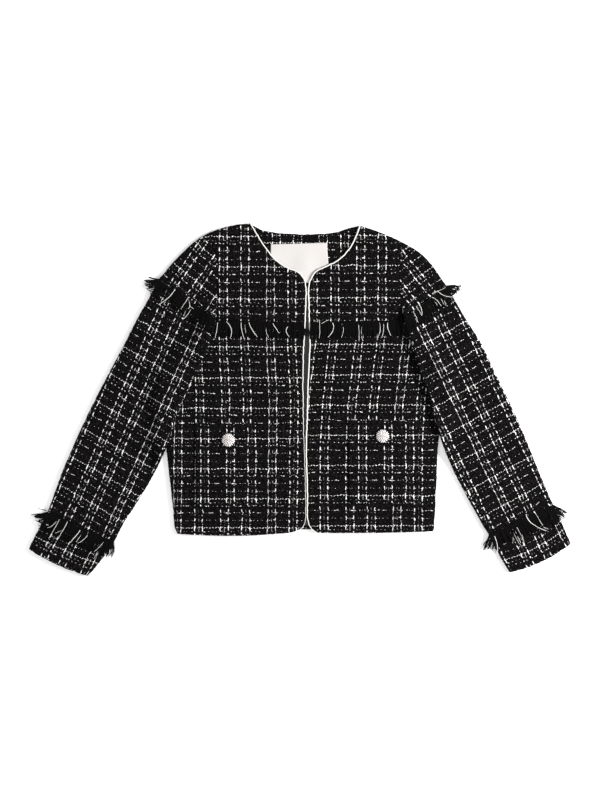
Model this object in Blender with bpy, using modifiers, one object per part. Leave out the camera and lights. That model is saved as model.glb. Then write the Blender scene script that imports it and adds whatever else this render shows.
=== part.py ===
"""A cropped tweed jacket laid flat: frayed yokes and sleeves, piped edges, patch pockets."""

import math
import random
from collections import namedtuple

import bmesh
import bpy
import numpy as np
from mathutils import Vector
from mathutils.bvhtree import BVHTree

# Sizes are millimetres until a point goes into a mesh. X runs to the wearer's left, Y to the collar
# and Z up, from the middle of the surface that the jacket lies on.
MM = 0.001

# Walls, and the heights of the layers above the surface
TWEED = 2.2
LINING = 1.0
POCKET_CLOTH = 1.8
SEAM_GAP = 0.3
FACE_GAP = 0.5
ARMHOLE_GAP = 1.2
BACK_TOP = TWEED
INSIDE_TOP = BACK_TOP + SEAM_GAP + LINING
LABEL_TOP = INSIDE_TOP + SEAM_GAP + LINING
FRONT_TOP = 7.6
SIDE_TOP = BACK_TOP + SEAM_GAP + TWEED
ROLL_WIDTH = 9.0
SLEEVE_HEIGHT = 7.4
SLEEVE_CLEAR = 0.7
SLEEVE_REST = 8.0
SLEEVE_SLOPE = 26.0
ABOVE_ALL = 100.0

# Piping, frayed strips and buttons
PIPING_RADIUS = 1.25
PIPING_RISE = 0.3
STRIP_WIDTH = 3.0
STRIP_HEIGHT = 1.6
STRAND_PITCH = 3.7
STRAND_WIDTH = 2.1
STRAND_TAPER = 0.78
STRAND_JOINTS = (0.55, 1.0)
STRAND_CHECKS = (0.25, 0.5, 0.75, 1.0)
STRAND_LEAN = 2.2
STRAND_WAVE = 0.29
FRINGE_LENGTH = 24.0
TUFT_REST = 3.5
BUTTON_RADIUS = 11.8
BUTTON_HEIGHT = 6.5

# Margins at the ends of a frayed edge
CHEST_MARGIN = 4.0
SLEEVE_MARGIN = 5.0

# Spacing of the sections that are put between the rows of the tables
BODY_STEP = 26.0
SLEEVE_STEP = 34.0

# A section crosses a piece from its inner to its outer edge. On the body the inner edge is the
# opening or the neck, and on a sleeve it is the fold that lies towards the body. A bow moves the
# middle of the section towards the hem or the cuff.
Section = namedtuple("Section", "x_in y_in x_out y_out bow")

FRONTS = {
    "right": [
        Section(-14.0, -232.5, -214.0, -234.5, 5.0),
        Section(-1.5, -227.0, -218.0, -227.0, 4.0),
        Section(5.7, -219.0, -220.0, -214.5, 2.0),
        Section(8.5, -206.0, -221.0, -199.0, 0.0),
        Section(8.6, -185.0, -223.5, -176.0, 0.0),
        Section(7.9, -141.0, -227.5, -141.0, 0.0),
        Section(6.0, -88.5, -233.0, -92.0, 0.0),
        Section(4.5, -36.0, -237.5, -45.0, 0.0),
        Section(4.0, 16.5, -238.5, 2.5, 0.0),
        Section(4.0, 65.5, -231.5, 41.0, 0.0),
        Section(5.5, 102.0, -180.0, 85.5, 0.0),
        Section(7.5, 134.5, -144.5, 138.0, 0.0),
    ],
    "left": [
        Section(31.5, -233.0, 233.5, -230.5, 1.5),
        Section(24.0, -228.0, 235.0, -224.0, 1.5),
        Section(18.4, -220.0, 235.5, -213.0, 0.5),
        Section(14.5, -206.0, 237.0, -192.0, 0.0),
        Section(14.6, -185.0, 237.5, -171.0, 0.0),
        Section(14.1, -141.0, 239.5, -137.5, 0.0),
        Section(12.4, -88.5, 241.0, -88.5, 0.0),
        Section(14.0, -36.0, 245.5, -45.0, 0.0),
        Section(15.5, 16.5, 249.5, 2.5, 0.0),
        Section(17.5, 65.5, 247.0, 42.5, 0.0),
        Section(19.0, 102.0, 208.5, 86.5, 0.0),
        Section(18.0, 134.5, 179.0, 138.0, 0.0),
    ],
}

YOKES = {
    "right": [
        Section(7.5, 135.0, -144.5, 138.5, 0.0),
        Section(9.0, 174.0, -144.5, 167.0, 0.0),
        Section(8.5, 198.5, -143.5, 191.5, 0.0),
        Section(4.5, 212.0, -143.0, 216.0, 0.0),
        Section(-6.5, 223.0, -143.5, 237.0, 0.0),
        Section(-20.0, 227.5, -146.0, 252.5, 0.0),
        Section(-40.0, 239.5, -151.5, 265.0, 0.0),
        Section(-62.5, 266.0, -159.0, 274.5, -2.0),
        Section(-88.0, 307.5, -170.8, 285.5, -4.5),
    ],
    "left": [
        Section(18.0, 135.0, 179.5, 138.5, 0.0),
        Section(17.0, 174.0, 177.5, 168.5, 0.0),
        Section(17.0, 198.5, 175.5, 193.0, 0.0),
        Section(21.0, 210.5, 174.0, 216.0, 0.0),
        Section(29.5, 223.0, 173.5, 235.0, 0.0),
        Section(46.0, 231.0, 174.0, 251.0, 0.0),
        Section(68.0, 242.5, 175.0, 261.5, 0.0),
        Section(92.0, 269.0, 177.5, 268.5, -1.0),
        Section(106.5, 303.5, 180.0, 274.5, -2.0),
    ],
}

# The cap lies between the armhole seam and the frayed line across the upper arm
CAPS = {
    "right": [
        Section(-145.2, 161.5, -193.5, 268.0, -9.0),
        Section(-145.5, 154.5, -210.6, 251.4, -7.0),
        Section(-145.5, 140.5, -246.5, 210.5, 0.0),
    ],
    "left": [
        Section(179.9, 154.5, 215.2, 252.2, -3.0),
        Section(180.9, 141.0, 256.0, 199.5, 0.0),
    ],
}

SLEEVES = {
    "right": [
        Section(-146.2, 138.9, -247.4, 208.9, 0.0),
        Section(-153.0, 112.5, -263.0, 179.0, 0.0),
        Section(-166.0, 77.5, -283.0, 143.5, 0.0),
        Section(-188.0, 28.5, -312.0, 87.0, 0.0),
        Section(-210.5, -15.0, -340.5, 33.5, 0.0),
        Section(-230.0, -76.5, -366.0, -16.5, 0.0),
        Section(-256.2, -132.5, -395.0, -78.5, 0.0),
        Section(-290.1, -189.0, -419.0, -136.0, 0.0),
        Section(-308.0, -216.5, -430.5, -167.5, 0.0),
        Section(-324.4, -248.7, -441.0, -197.0, 0.0),
    ],
    "left": [
        Section(181.3, 139.5, 256.8, 198.0, 0.0),
        Section(188.0, 122.0, 272.5, 171.5, 0.0),
        Section(195.0, 93.5, 290.5, 140.5, 0.0),
        Section(208.5, 51.5, 317.0, 98.5, 0.0),
        Section(225.0, 6.0, 336.8, 56.8, 0.0),
        Section(240.8, -54.5, 365.6, -2.8, 0.0),
        Section(267.1, -121.6, 394.3, -66.8, 0.0),
        Section(294.0, -173.3, 418.0, -126.1, 0.0),
        Section(312.0, -206.2, 431.3, -157.0, 0.0),
        Section(329.0, -234.9, 443.0, -184.0, 0.0),
    ],
}

CUFFS = {
    "right": [
        Section(-324.6, -249.1, -441.2, -197.4, 0.0),
        Section(-346.8, -280.4, -458.2, -229.5, 1.0),
        Section(-370.1, -308.9, -474.3, -261.3, 4.5),
    ],
    "left": [
        Section(329.2, -235.3, 443.2, -184.4, 0.0),
        Section(345.6, -267.4, 458.2, -216.2, 2.0),
        Section(367.0, -302.5, 474.0, -252.0, 7.0),
    ],
}

POCKETS = {
    "right": [
        Section(-66.5, -189.0, -182.0, -187.5, 0.0),
        Section(-66.5, -117.0, -182.5, -115.0, 0.0),
        Section(-66.5, -45.0, -182.5, -42.0, 0.0),
    ],
    "left": [
        Section(86.0, -180.5, 204.0, -181.0, 0.0),
        Section(85.5, -108.5, 204.5, -109.5, 0.0),
        Section(85.0, -36.5, 205.0, -37.5, 0.0),
    ],
}

BACK_LINING = [
    Section(-112.0, -220.0, 134.0, -220.0, 0.0),
    Section(-112.0, 186.0, 134.0, 186.0, 0.0),
]
LABEL = [
    Section(-52.5, 204.0, 52.5, 204.0, 0.0),
    Section(-50.5, 271.0, 47.0, 273.5, 0.0),
]
NECK_FACING_BOTTOM = Section(-98.0, 187.0, 120.0, 187.0, 0.0)
NECK_FACING_MIDDLE = Section(-90.0, 245.0, 110.0, 243.0, 0.0)
NECK_FACING_TOP = (-76.0, 94.0)
NECK_FACING_INSET = 2.5

# The back's top edge runs from shoulder to shoulder by way of the neck
EdgePoint = namedtuple("EdgePoint", "x y")
BACK_TOP_EDGE = [
    EdgePoint(-170.8, 285.5),
    EdgePoint(-135.0, 298.5),
    EdgePoint(-88.0, 308.0),
    EdgePoint(-67.0, 296.0),
    EdgePoint(-38.5, 291.2),
    EdgePoint(3.5, 288.5),
    EdgePoint(45.0, 289.8),
    EdgePoint(66.5, 293.0),
    EdgePoint(87.0, 300.0),
    EdgePoint(106.5, 304.0),
    EdgePoint(156.0, 284.0),
    EdgePoint(180.0, 274.5),
]
BACK_NECK = (-88.0, 106.5)
BACK_HEM_BOW = -5.0
# The seam turning of the back goes under the sleeve at the corner of the armhole
BACK_TURNING = 4.5

BUTTONS = {"right": EdgePoint(-125.0, -71.0), "left": EdgePoint(144.5, -64.0)}

# How the strands fan out at the ends of a sleeve's frayed edges: outward past the outer fold, and
# inward past the inner one. A spread of 1 turns the last strand by 45 degrees.
Tuft = namedtuple("Tuft", "outward inward")
OUTER_TUFT_SHARE = 0.28
INNER_TUFT_SHARE = 0.2
ARM_TUFTS = {"right": Tuft(1.6, 0.0), "left": Tuft(1.5, 0.0)}
CUFF_TUFTS = {"right": Tuft(2.2, 0.3), "left": Tuft(1.1, 1.1)}

# Soft ridges and troughs of the laid cloth. The turn is in degrees from the X axis.
Fold = namedtuple("Fold", "x y length width turn height")

BODY_FOLDS = [
    Fold(-150.0, 60.0, 60.0, 14.0, 62.0, 0.5),
    Fold(-110.0, 20.0, 70.0, 20.0, 75.0, -0.5),
    Fold(95.0, 60.0, 80.0, 18.0, 100.0, 0.5),
    Fold(150.0, 10.0, 70.0, 16.0, 112.0, -0.5),
    Fold(-60.0, 185.0, 45.0, 16.0, 20.0, 0.4),
    Fold(90.0, 190.0, 45.0, 16.0, 160.0, 0.4),
]

SLEEVE_FOLDS = [
    Fold(-205.0, 95.0, 60.0, 13.0, 35.0, 0.8),
    Fold(-238.0, 20.0, 50.0, 12.0, 20.0, -0.7),
    Fold(-275.0, -20.0, 60.0, 14.0, 32.0, 0.7),
    Fold(-335.0, -110.0, 60.0, 14.0, 15.0, -0.6),
    Fold(-370.0, -165.0, 50.0, 12.0, 30.0, 0.6),
    Fold(230.0, 100.0, 55.0, 13.0, 140.0, 0.8),
    Fold(262.0, 20.0, 50.0, 12.0, 160.0, -0.7),
    Fold(310.0, -35.0, 60.0, 14.0, 148.0, 0.7),
    Fold(350.0, -110.0, 60.0, 14.0, 165.0, -0.6),
    Fold(385.0, -160.0, 50.0, 12.0, 150.0, 0.6),
]

# Columns of points across a piece, as shares of its width from the inner edge
BODY_COLUMNS = np.append(np.linspace(0.0, 0.955, 8), [0.985, 1.0])
YOKE_COLUMNS = np.linspace(0.0, 1.0, 8)
POCKET_COLUMNS = np.linspace(0.0, 1.0, 6)
LINE_COLUMNS = np.linspace(0.0, 1.0, 13)
RING_SHARES = np.linspace(0.0, 1.0, 8)
FOLD_ANGLES = (30.0, -30.0)

SIDES = ("right", "left")


def start_scene():
    """Empty the scene and give the jacket its own collection."""
    for item in list(bpy.data.objects):
        bpy.data.objects.remove(item, do_unlink=True)
    jacket = bpy.data.collections.new("cropped_tweed_jacket")
    bpy.context.scene.collection.children.link(jacket)
    return jacket


def finish(name, colour, roughness, metallic=0.0):
    """A Principled material of one colour."""
    material = bpy.data.materials.new(name)
    material.use_nodes = True
    shader = material.node_tree.nodes["Principled BSDF"]
    shader.inputs["Base Color"].default_value = (*colour, 1.0)
    shader.inputs["Roughness"].default_value = roughness
    shader.inputs["Metallic"].default_value = metallic
    return material


def across(section, columns):
    """Plan points of one section, from its inner to its outer edge."""
    start = np.array([section.x_in, section.y_in])
    end = np.array([section.x_out, section.y_out])
    run = end - start
    down = np.array([-run[1], run[0]]) / np.linalg.norm(run)
    if down[1] > 0.0:
        down = -down
    bows = [4.0 * section.bow * share * (1.0 - share) for share in columns]
    return np.array([start + run * share + down * bow for share, bow in zip(columns, bows)])


def fill(lines, step):
    """Put smooth lines between the given ones, about a step apart."""
    lines = np.array(lines)
    gaps = np.linalg.norm(np.diff(lines.mean(axis=1), axis=0), axis=1)
    places = np.concatenate(([0.0], np.cumsum(gaps)))
    slopes = np.gradient(lines, places, axis=0)
    filled = []
    for index, gap in enumerate(gaps):
        count = max(1, round(gap / step))
        for t in np.arange(count) / count:
            start = (1.0 + 2.0 * t) * (1.0 - t) ** 2 * lines[index]
            end = t * t * (3.0 - 2.0 * t) * lines[index + 1]
            leave = t * (1.0 - t) ** 2 * gap * slopes[index]
            arrive = t * t * (t - 1.0) * gap * slopes[index + 1]
            filled.append(start + end + leave + arrive)
    filled.append(lines[-1])
    return np.array(filled)


def along(line, shares):
    """Points at the given shares of a line's length."""
    lengths = np.concatenate(([0.0], np.cumsum(np.linalg.norm(np.diff(line, axis=0), axis=1))))
    places = np.array(shares) * lengths[-1]
    axes = range(line.shape[1])
    return np.column_stack([np.interp(places, lengths, line[:, axis]) for axis in axes])


def folds_at(x, y, folds):
    """Height of the cloth's folds at one place."""
    height = 0.0
    for fold in folds:
        turn = math.radians(fold.turn)
        run = (x - fold.x) * math.cos(turn) + (y - fold.y) * math.sin(turn)
        side = (y - fold.y) * math.cos(turn) - (x - fold.x) * math.sin(turn)
        height += fold.height * math.exp(-((run / fold.length) ** 2) - (side / fold.width) ** 2)
    return height


def roll(distance):
    """How far the cloth has come down at a distance from a turned edge."""
    if distance >= ROLL_WIDTH:
        return 0.0
    return (FRONT_TOP - SIDE_TOP) * (1.0 - math.sqrt(1.0 - (1.0 - distance / ROLL_WIDTH) ** 2))


def ease(share):
    """A smooth step from 0 to 1."""
    share = min(max(share, 0.0), 1.0)
    return share * share * (3.0 - 2.0 * share)


def beyond(x, y, outline):
    """Distance of a place outside a closed outline, or 0 inside it."""
    nearest = math.inf
    inside = False
    for (ax, ay), (bx, by) in zip(outline, outline[1:] + outline[:1]):
        run_x, run_y = bx - ax, by - ay
        share = ((x - ax) * run_x + (y - ay) * run_y) / (run_x * run_x + run_y * run_y)
        share = min(max(share, 0.0), 1.0)
        nearest = min(nearest, math.hypot(x - ax - share * run_x, y - ay - share * run_y))
        if (ay > y) != (by > y) and x < ax + run_x * (y - ay) / run_y:
            inside = not inside
    return 0.0 if inside else nearest


def body_outline(side):
    """The half of the body that a sleeve comes to lie on."""
    edge = [(section.x_out, section.y_out) for section in FRONTS[side]]
    top, bottom = FRONTS[side][-1], FRONTS[side][0]
    return edge + [(top.x_in, top.y_in), (bottom.x_in, bottom.y_in)]


OUTLINES = {side: body_outline(side) for side in SIDES}


def sleeve_floor(x, y):
    """Height of a sleeve's underside: on the surface, or over the side of the body."""
    side = "right" if x < 0.0 else "left"
    distance = beyond(x, y, OUTLINES[side])
    return (FRONT_TOP + SLEEVE_CLEAR) * ease(1.0 - (distance - SLEEVE_REST) / SLEEVE_SLOPE)


def sleeve_top(x, y):
    """Height of a sleeve's upper face."""
    return sleeve_floor(x, y) + SLEEVE_HEIGHT + folds_at(x, y, SLEEVE_FOLDS)


def body_top(x, y):
    """Height of the front's and the yoke's outer face, away from their turned edges."""
    return FRONT_TOP + folds_at(x, y, BODY_FOLDS)


def wall(name, grid, thickness, material, jacket, closed=False):
    """Cloth of a real thickness under the outer face that the grid of points gives."""
    rows, columns = grid.shape[:2]
    mesh = bmesh.new()
    bmesh.ops.create_grid(mesh, x_segments=columns - 1, y_segments=rows - 1, size=0.5)
    for vert in mesh.verts:
        column = round((vert.co.x + 0.5) * (columns - 1))
        row = round((vert.co.y + 0.5) * (rows - 1))
        vert.co = Vector(grid[row, column]) * MM
    if closed:
        bmesh.ops.remove_doubles(mesh, verts=mesh.verts[:], dist=1e-6)
    mesh.normal_update()
    middle = np.mean(grid[:, :, 2]) * MM if closed else -1.0
    outward = 0.0
    for face in mesh.faces:
        outward += face.normal.z * (face.calc_center_median().z - middle) * face.calc_area()
    if outward < 0.0:
        bmesh.ops.reverse_faces(mesh, faces=mesh.faces[:])
    data = bpy.data.meshes.new(name)
    mesh.to_mesh(data)
    mesh.free()
    data.shade_smooth()
    piece = bpy.data.objects.new(name, data)
    jacket.objects.link(piece)
    data.materials.append(material)
    solid = piece.modifiers.new("cloth", "SOLIDIFY")
    solid.thickness = thickness * MM
    solid.offset = -1.0
    return piece


def raised(lines, height):
    """Give the plan points of some lines a height each."""
    return np.array([[(x, y, height(x, y)) for x, y in line] for line in lines])


def front_grid(side):
    """Outer face of a front panel: it comes down to the side seam at its outer edge."""
    lines = fill([across(section, BODY_COLUMNS) for section in FRONTS[side]], BODY_STEP)
    grid = raised(lines, body_top)
    for row in grid:
        for point in row:
            point[2] -= roll(math.dist(point[:2], row[-1, :2]))
    return grid


def yoke_grid(side):
    """Outer face of a yoke: it comes down to the back at the shoulder seam."""
    lines = fill([across(section, YOKE_COLUMNS) for section in YOKES[side]], BODY_STEP)
    grid = raised(lines, body_top)
    for row in grid:
        for point, shoulder in zip(row, grid[-1]):
            point[2] -= roll(math.dist(point[:2], shoulder[:2]))
    return grid


def ring(line):
    """One closed section of a flattened sleeve: flat underside, rounded folds and upper face."""
    radius = SLEEVE_HEIGHT / 2.0
    length = np.sum(np.linalg.norm(np.diff(line, axis=0), axis=1))
    flat = along(line, (radius + RING_SHARES * (length - 2.0 * radius)) / length)
    ends = {"out": (flat[-1], flat[-1] - flat[-2]), "in": (flat[0], flat[0] - flat[1])}
    turns = {}
    for end, (place, way) in ends.items():
        way = way / np.linalg.norm(way)
        floor = sleeve_floor(*place)
        turns[end] = []
        for angle in FOLD_ANGLES:
            reach = place + way * radius * math.cos(math.radians(angle))
            turns[end].append((*reach, floor + radius + radius * math.sin(math.radians(angle))))
    top = [(x, y, sleeve_top(x, y)) for x, y in flat]
    bottom = [(x, y, sleeve_floor(x, y)) for x, y in flat[::-1]]
    return top + turns["out"] + bottom + turns["in"][::-1] + top[:1]


def tube(name, lines, material, jacket):
    """A flattened cloth tube through the given lines, open at both ends."""
    grid = np.array([ring(line) for line in fill(lines, SLEEVE_STEP)])
    return wall(name, grid, TWEED, material, jacket, closed=True)


def laid_on(pieces, elsewhere):
    """A function for the height of the highest of some pieces, or of something else beside them."""
    bpy.context.view_layer.update()
    scene = bpy.context.evaluated_depsgraph_get()
    trees = [BVHTree.FromObject(piece, scene) for piece in pieces]
    down = Vector((0.0, 0.0, -1.0))

    def height(x, y):
        hits = [tree.ray_cast(Vector((x, y, ABOVE_ALL)) * MM, down)[0] for tree in trees]
        tops = [hit.z / MM for hit in hits if hit]
        return max(tops) if tops else elsewhere(x, y)

    return height


def armhole_line(side):
    """The armhole seam on the sleeve's side, from its lower end up to the shoulder."""
    edge = np.array([(section.x_out, section.y_out) for section in YOKES[side][1:]])
    outward = -1.0 if side == "right" else 1.0
    edge[:, 0] += outward * ARMHOLE_GAP
    return along(edge, LINE_COLUMNS)


def pocket(side, material, jacket):
    """A patch pocket, made from the front's own surface moved out."""
    lift = FACE_GAP + POCKET_CLOTH
    lines = fill([across(section, POCKET_COLUMNS) for section in POCKETS[side]], BODY_STEP)
    grid = raised(lines, lambda x, y: body_top(x, y) + lift)
    return wall("pocket_" + side, grid, POCKET_CLOTH, material, jacket)


def back(material, jacket):
    """The back, cut to the fronts' side edges and the yokes' armholes, flat on the surface."""
    width = BACK_TOP_EDGE[-1].x - BACK_TOP_EDGE[0].x
    neck = [(x - BACK_TOP_EDGE[0].x) / width for x in BACK_NECK]
    columns = np.concatenate((
        np.linspace(0.0, neck[0], 4)[:-1],
        np.linspace(neck[0], neck[1], 9)[:-1],
        np.linspace(neck[1], 1.0, 4),
    ))
    lines = []
    edges = [FRONTS[side] + YOKES[side][1:-1] for side in SIDES]
    for right, left in zip(*edges):
        bow = BACK_HEM_BOW if len(lines) < 2 else 0.0
        turning = BACK_TURNING if len(lines) == len(FRONTS["right"]) - 1 else 0.0
        ends = (right.x_out - turning, right.y_out, left.x_out + turning, left.y_out)
        section = Section(*ends, bow)
        lines.append(across(section, columns))
    edge = np.array(BACK_TOP_EDGE)
    tops = edge[0, 0] + (edge[-1, 0] - edge[0, 0]) * columns
    lines.append(np.column_stack((tops, np.interp(tops, edge[:, 0], edge[:, 1]))))
    grid = raised(fill(lines, 2.0 * BODY_STEP), lambda x, y: BACK_TOP)
    return wall("back", grid, TWEED, material, jacket)


def neck_facing(material, jacket):
    """The tweed facing inside the back neck."""
    edge = np.array(BACK_TOP_EDGE)
    tops = np.linspace(*NECK_FACING_TOP, len(POCKET_COLUMNS))
    top = np.column_stack((tops, np.interp(tops, edge[:, 0], edge[:, 1]) - NECK_FACING_INSET))
    bottom = across(NECK_FACING_BOTTOM, POCKET_COLUMNS)
    middle = across(NECK_FACING_MIDDLE, POCKET_COLUMNS)
    lines = [bottom, middle, top]
    grid = raised(fill(lines, BODY_STEP), lambda x, y: INSIDE_TOP)
    return wall("neck_facing", grid, LINING, material, jacket)


def flat_patch(name, sections, top, material, jacket):
    """A thin flat piece of cloth inside the jacket."""
    grid = raised([across(section, POCKET_COLUMNS) for section in sections], lambda x, y: top)
    return wall(name, grid, LINING, material, jacket)


def piping(side, grids, material, jacket):
    """The piping that edges one side, from the shoulder seam round the neck and down to the hem."""
    edge = np.concatenate([grid[::-1, 0] for grid in grids])
    keep = np.linalg.norm(np.diff(edge, axis=0), axis=1) > 2.0
    edge = edge[np.append(keep, True)]
    ways = np.gradient(edge[:, :2], axis=0)
    outward = 1.0 if side == "right" else -1.0
    path = bpy.data.curves.new("piping_" + side, "CURVE")
    path.dimensions = "3D"
    path.bevel_depth = PIPING_RADIUS * MM
    path.bevel_resolution = 1
    path.use_fill_caps = True
    spline = path.splines.new("POLY")
    spline.points.add(len(edge) - 1)
    reach = PIPING_RADIUS + SEAM_GAP
    for point, place, way in zip(spline.points, edge, ways):
        way = way / np.linalg.norm(way)
        x = place[0] - outward * way[1] * reach
        y = place[1] + outward * way[0] * reach
        point.co = (x * MM, y * MM, (place[2] - TWEED / 2.0 + PIPING_RISE) * MM, 1.0)
    path.materials.append(material)
    piece = bpy.data.objects.new("piping_" + side, path)
    jacket.objects.link(piece)
    return piece


def strand_plan(line, ways, margin):
    """Stations along a frayed strip, two for each strand, with the way that its strands point."""
    length = np.sum(np.linalg.norm(np.diff(line, axis=0), axis=1))
    count = int((length - 2.0 * margin) / STRAND_PITCH)
    first = (length - count * STRAND_PITCH) / 2.0
    places = [first + STRAND_PITCH * index for index in range(count)]
    places = np.sort(places + [place + STRAND_WIDTH for place in places])
    shares = places / length
    pointing = along(ways, shares)
    return along(line, shares), pointing / np.linalg.norm(pointing, axis=1)[:, None]


def fringe(name, line, ways, surface, margin, seed, material, jacket):
    """Frayed edge: a narrow backing strip with strands that are drawn out of its free side."""
    draw = random.Random(seed)
    roots, ways = strand_plan(line, ways, margin)
    mesh = bmesh.new()
    corners = []
    for root, way in zip(roots, ways):
        tip = root + way * STRIP_WIDTH
        floor = max(surface(*root), surface(*tip)) + FACE_GAP
        section = ((root, 0.0), (root, STRIP_HEIGHT), (tip, STRIP_HEIGHT), (tip, 0.0))
        points = [Vector((*place, floor + rise)) * MM for place, rise in section]
        corners.append([mesh.verts.new(point) for point in points])
    free = []
    for index, (here, there) in enumerate(zip(corners, corners[1:])):
        for k, after in ((0, 1), (1, 2), (2, 3), (3, 0)):
            side = mesh.faces.new((here[k], here[after], there[after], there[k]))
            if k == 2 and index % 2 == 0:
                free.append((index, side))
    mesh.faces.new(corners[0])
    mesh.faces.new(corners[-1][::-1])
    for index, face in free:
        way = (ways[index] + ways[index + 1]) / 2.0
        side = np.array((-way[1], way[0]))
        length = FRINGE_LENGTH * draw.uniform(0.78, 1.0) - STRIP_WIDTH
        lean = STRAND_LEAN * math.sin(index * STRAND_WAVE) + draw.uniform(-0.3, 0.3)
        start = np.array(face.calc_center_median()) / MM
        for step, share in enumerate(STRAND_JOINTS):
            reach = way * length * share + side * lean * share * share
            plan = start[:2] + reach
            under = max(surface(*(start[:2] + reach * part)) for part in STRAND_CHECKS)
            height = under + FACE_GAP + STRIP_HEIGHT / 2.0 + draw.uniform(0.2, 0.9) * (step + 1)
            target = Vector((plan[0], plan[1], height)) * MM
            face = bmesh.ops.extrude_discrete_faces(mesh, faces=[face])["faces"][0]
            centre = face.calc_center_median()
            for vert in face.verts:
                vert.co = target + (vert.co - centre) * STRAND_TAPER
    bmesh.ops.recalc_face_normals(mesh, faces=mesh.faces[:])
    data = bpy.data.meshes.new(name)
    mesh.to_mesh(data)
    mesh.free()
    data.materials.append(material)
    piece = bpy.data.objects.new(name, data)
    jacket.objects.link(piece)
    return piece


def chest_fringe(side, front, material, jacket):
    """The frayed lower edge of a yoke, over the top of the front."""
    seam = FRONTS[side][-1]
    line = across(seam, LINE_COLUMNS) - np.array((0.0, SEAM_GAP))
    ways = np.array([(0.0, -1.0)] * len(line))
    surface = laid_on([front], body_top)
    return fringe("fringe_chest_" + side, line, ways, surface, CHEST_MARGIN, 3, material, jacket)


def sleeve_fringe(name, section, next_section, under, tuft, seed, material, jacket):
    """A frayed line across a sleeve, with a tuft that stands out past the folded edge."""
    line = across(section, LINE_COLUMNS)
    onward = across(next_section, LINE_COLUMNS) - line
    onward = onward / np.linalg.norm(onward, axis=1)[:, None]
    line = line + onward * SEAM_GAP
    outward = (line[-1] - line[0]) / np.linalg.norm(line[-1] - line[0])
    ways = []
    for share, way in zip(LINE_COLUMNS, onward):
        out_share = ease(1.0 - (1.0 - share) / OUTER_TUFT_SHARE)
        in_share = ease(1.0 - share / INNER_TUFT_SHARE)
        spread = tuft.outward * out_share * out_share - tuft.inward * in_share
        ways.append(way + outward * spread)
    surface = laid_on(under, tuft_height)
    return fringe(name, line, np.array(ways), surface, SLEEVE_MARGIN, seed, material, jacket)


def tuft_height(x, y):
    """Height under the strands that hang over a sleeve's folded edge."""
    return sleeve_floor(x, y) + TUFT_REST


def button(side, material, jacket):
    """A domed button, turned, sewn to the pocket."""
    profile = [
        (0.0, BUTTON_HEIGHT),
        (BUTTON_RADIUS * 0.45, BUTTON_HEIGHT * 0.94),
        (BUTTON_RADIUS * 0.8, BUTTON_HEIGHT * 0.72),
        (BUTTON_RADIUS, BUTTON_HEIGHT * 0.36),
        (BUTTON_RADIUS * 0.9, 0.0),
        (0.0, 0.0),
    ]
    data = bpy.data.meshes.new("button_" + side)
    verts = [(radius * MM, 0.0, height * MM) for radius, height in profile]
    edges = [(index, index + 1) for index in range(len(verts) - 1)]
    data.from_pydata(verts, edges, [])
    data.materials.append(material)
    piece = bpy.data.objects.new("button_" + side, data)
    jacket.objects.link(piece)
    place = BUTTONS[side]
    base = body_top(*place) + FACE_GAP + POCKET_CLOTH + SEAM_GAP
    piece.location = (place.x * MM, place.y * MM, base * MM)
    turned = piece.modifiers.new("turned", "SCREW")
    turned.steps = 20
    turned.render_steps = 20
    turned.use_merge_vertices = True
    turned.merge_threshold = 0.0001
    turned.use_smooth_shade = True
    return piece


def build_jacket():
    """Build every piece of the jacket."""
    jacket = start_scene()
    tweed = finish("tweed_black_white", (0.012, 0.011, 0.012), 0.9)
    frayed = finish("frayed_black_yarn", (0.009, 0.008, 0.009), 0.9)
    satin = finish("dark_lining", (0.03, 0.03, 0.031), 0.45)
    white = finish("white_piping", (0.82, 0.81, 0.78), 0.55)
    label = finish("white_label", (0.85, 0.84, 0.82), 0.6)
    beads = finish("pearl_beads", (0.8, 0.79, 0.77), 0.25)
    back(tweed, jacket)
    flat_patch("back_lining", BACK_LINING, INSIDE_TOP, satin, jacket)
    neck_facing(tweed, jacket)
    flat_patch("label", LABEL, LABEL_TOP, label, jacket)
    for number, side in enumerate(SIDES):
        front_face, yoke_face = front_grid(side), yoke_grid(side)
        front = wall("front_" + side, front_face, TWEED, tweed, jacket)
        wall("yoke_" + side, yoke_face, TWEED, tweed, jacket)
        piping(side, (yoke_face, front_face), white, jacket)
        pocket(side, tweed, jacket)
        button(side, beads, jacket)
        cap_lines = [across(section, LINE_COLUMNS) for section in CAPS[side]]
        sleeve_lines = [across(section, LINE_COLUMNS) for section in SLEEVES[side]]
        cuff_lines = [across(section, LINE_COLUMNS) for section in CUFFS[side]]
        cap = tube("sleeve_cap_" + side, [armhole_line(side)] + cap_lines, tweed, jacket)
        sleeve = tube("sleeve_" + side, sleeve_lines, tweed, jacket)
        cuff = tube("cuff_" + side, cuff_lines, tweed, jacket)
        chest_fringe(side, front, frayed, jacket)
        arm = (CAPS[side][-1], SLEEVES[side][1], (cap, sleeve), ARM_TUFTS[side])
        wrist = (SLEEVES[side][-1], CUFFS[side][1], (sleeve, cuff), CUFF_TUFTS[side])
        sleeve_fringe("fringe_arm_" + side, *arm, 11 + number, frayed, jacket)
        sleeve_fringe("fringe_cuff_" + side, *wrist, 21 + number, frayed, jacket)


build_jacket()
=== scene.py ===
"""The finished look of a cropped tweed jacket that lies flat with its front up."""

import math
import random
from collections import namedtuple

import bmesh
import bpy
import numpy as np
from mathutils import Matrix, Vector, noise
from mathutils.bvhtree import BVHTree


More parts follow.
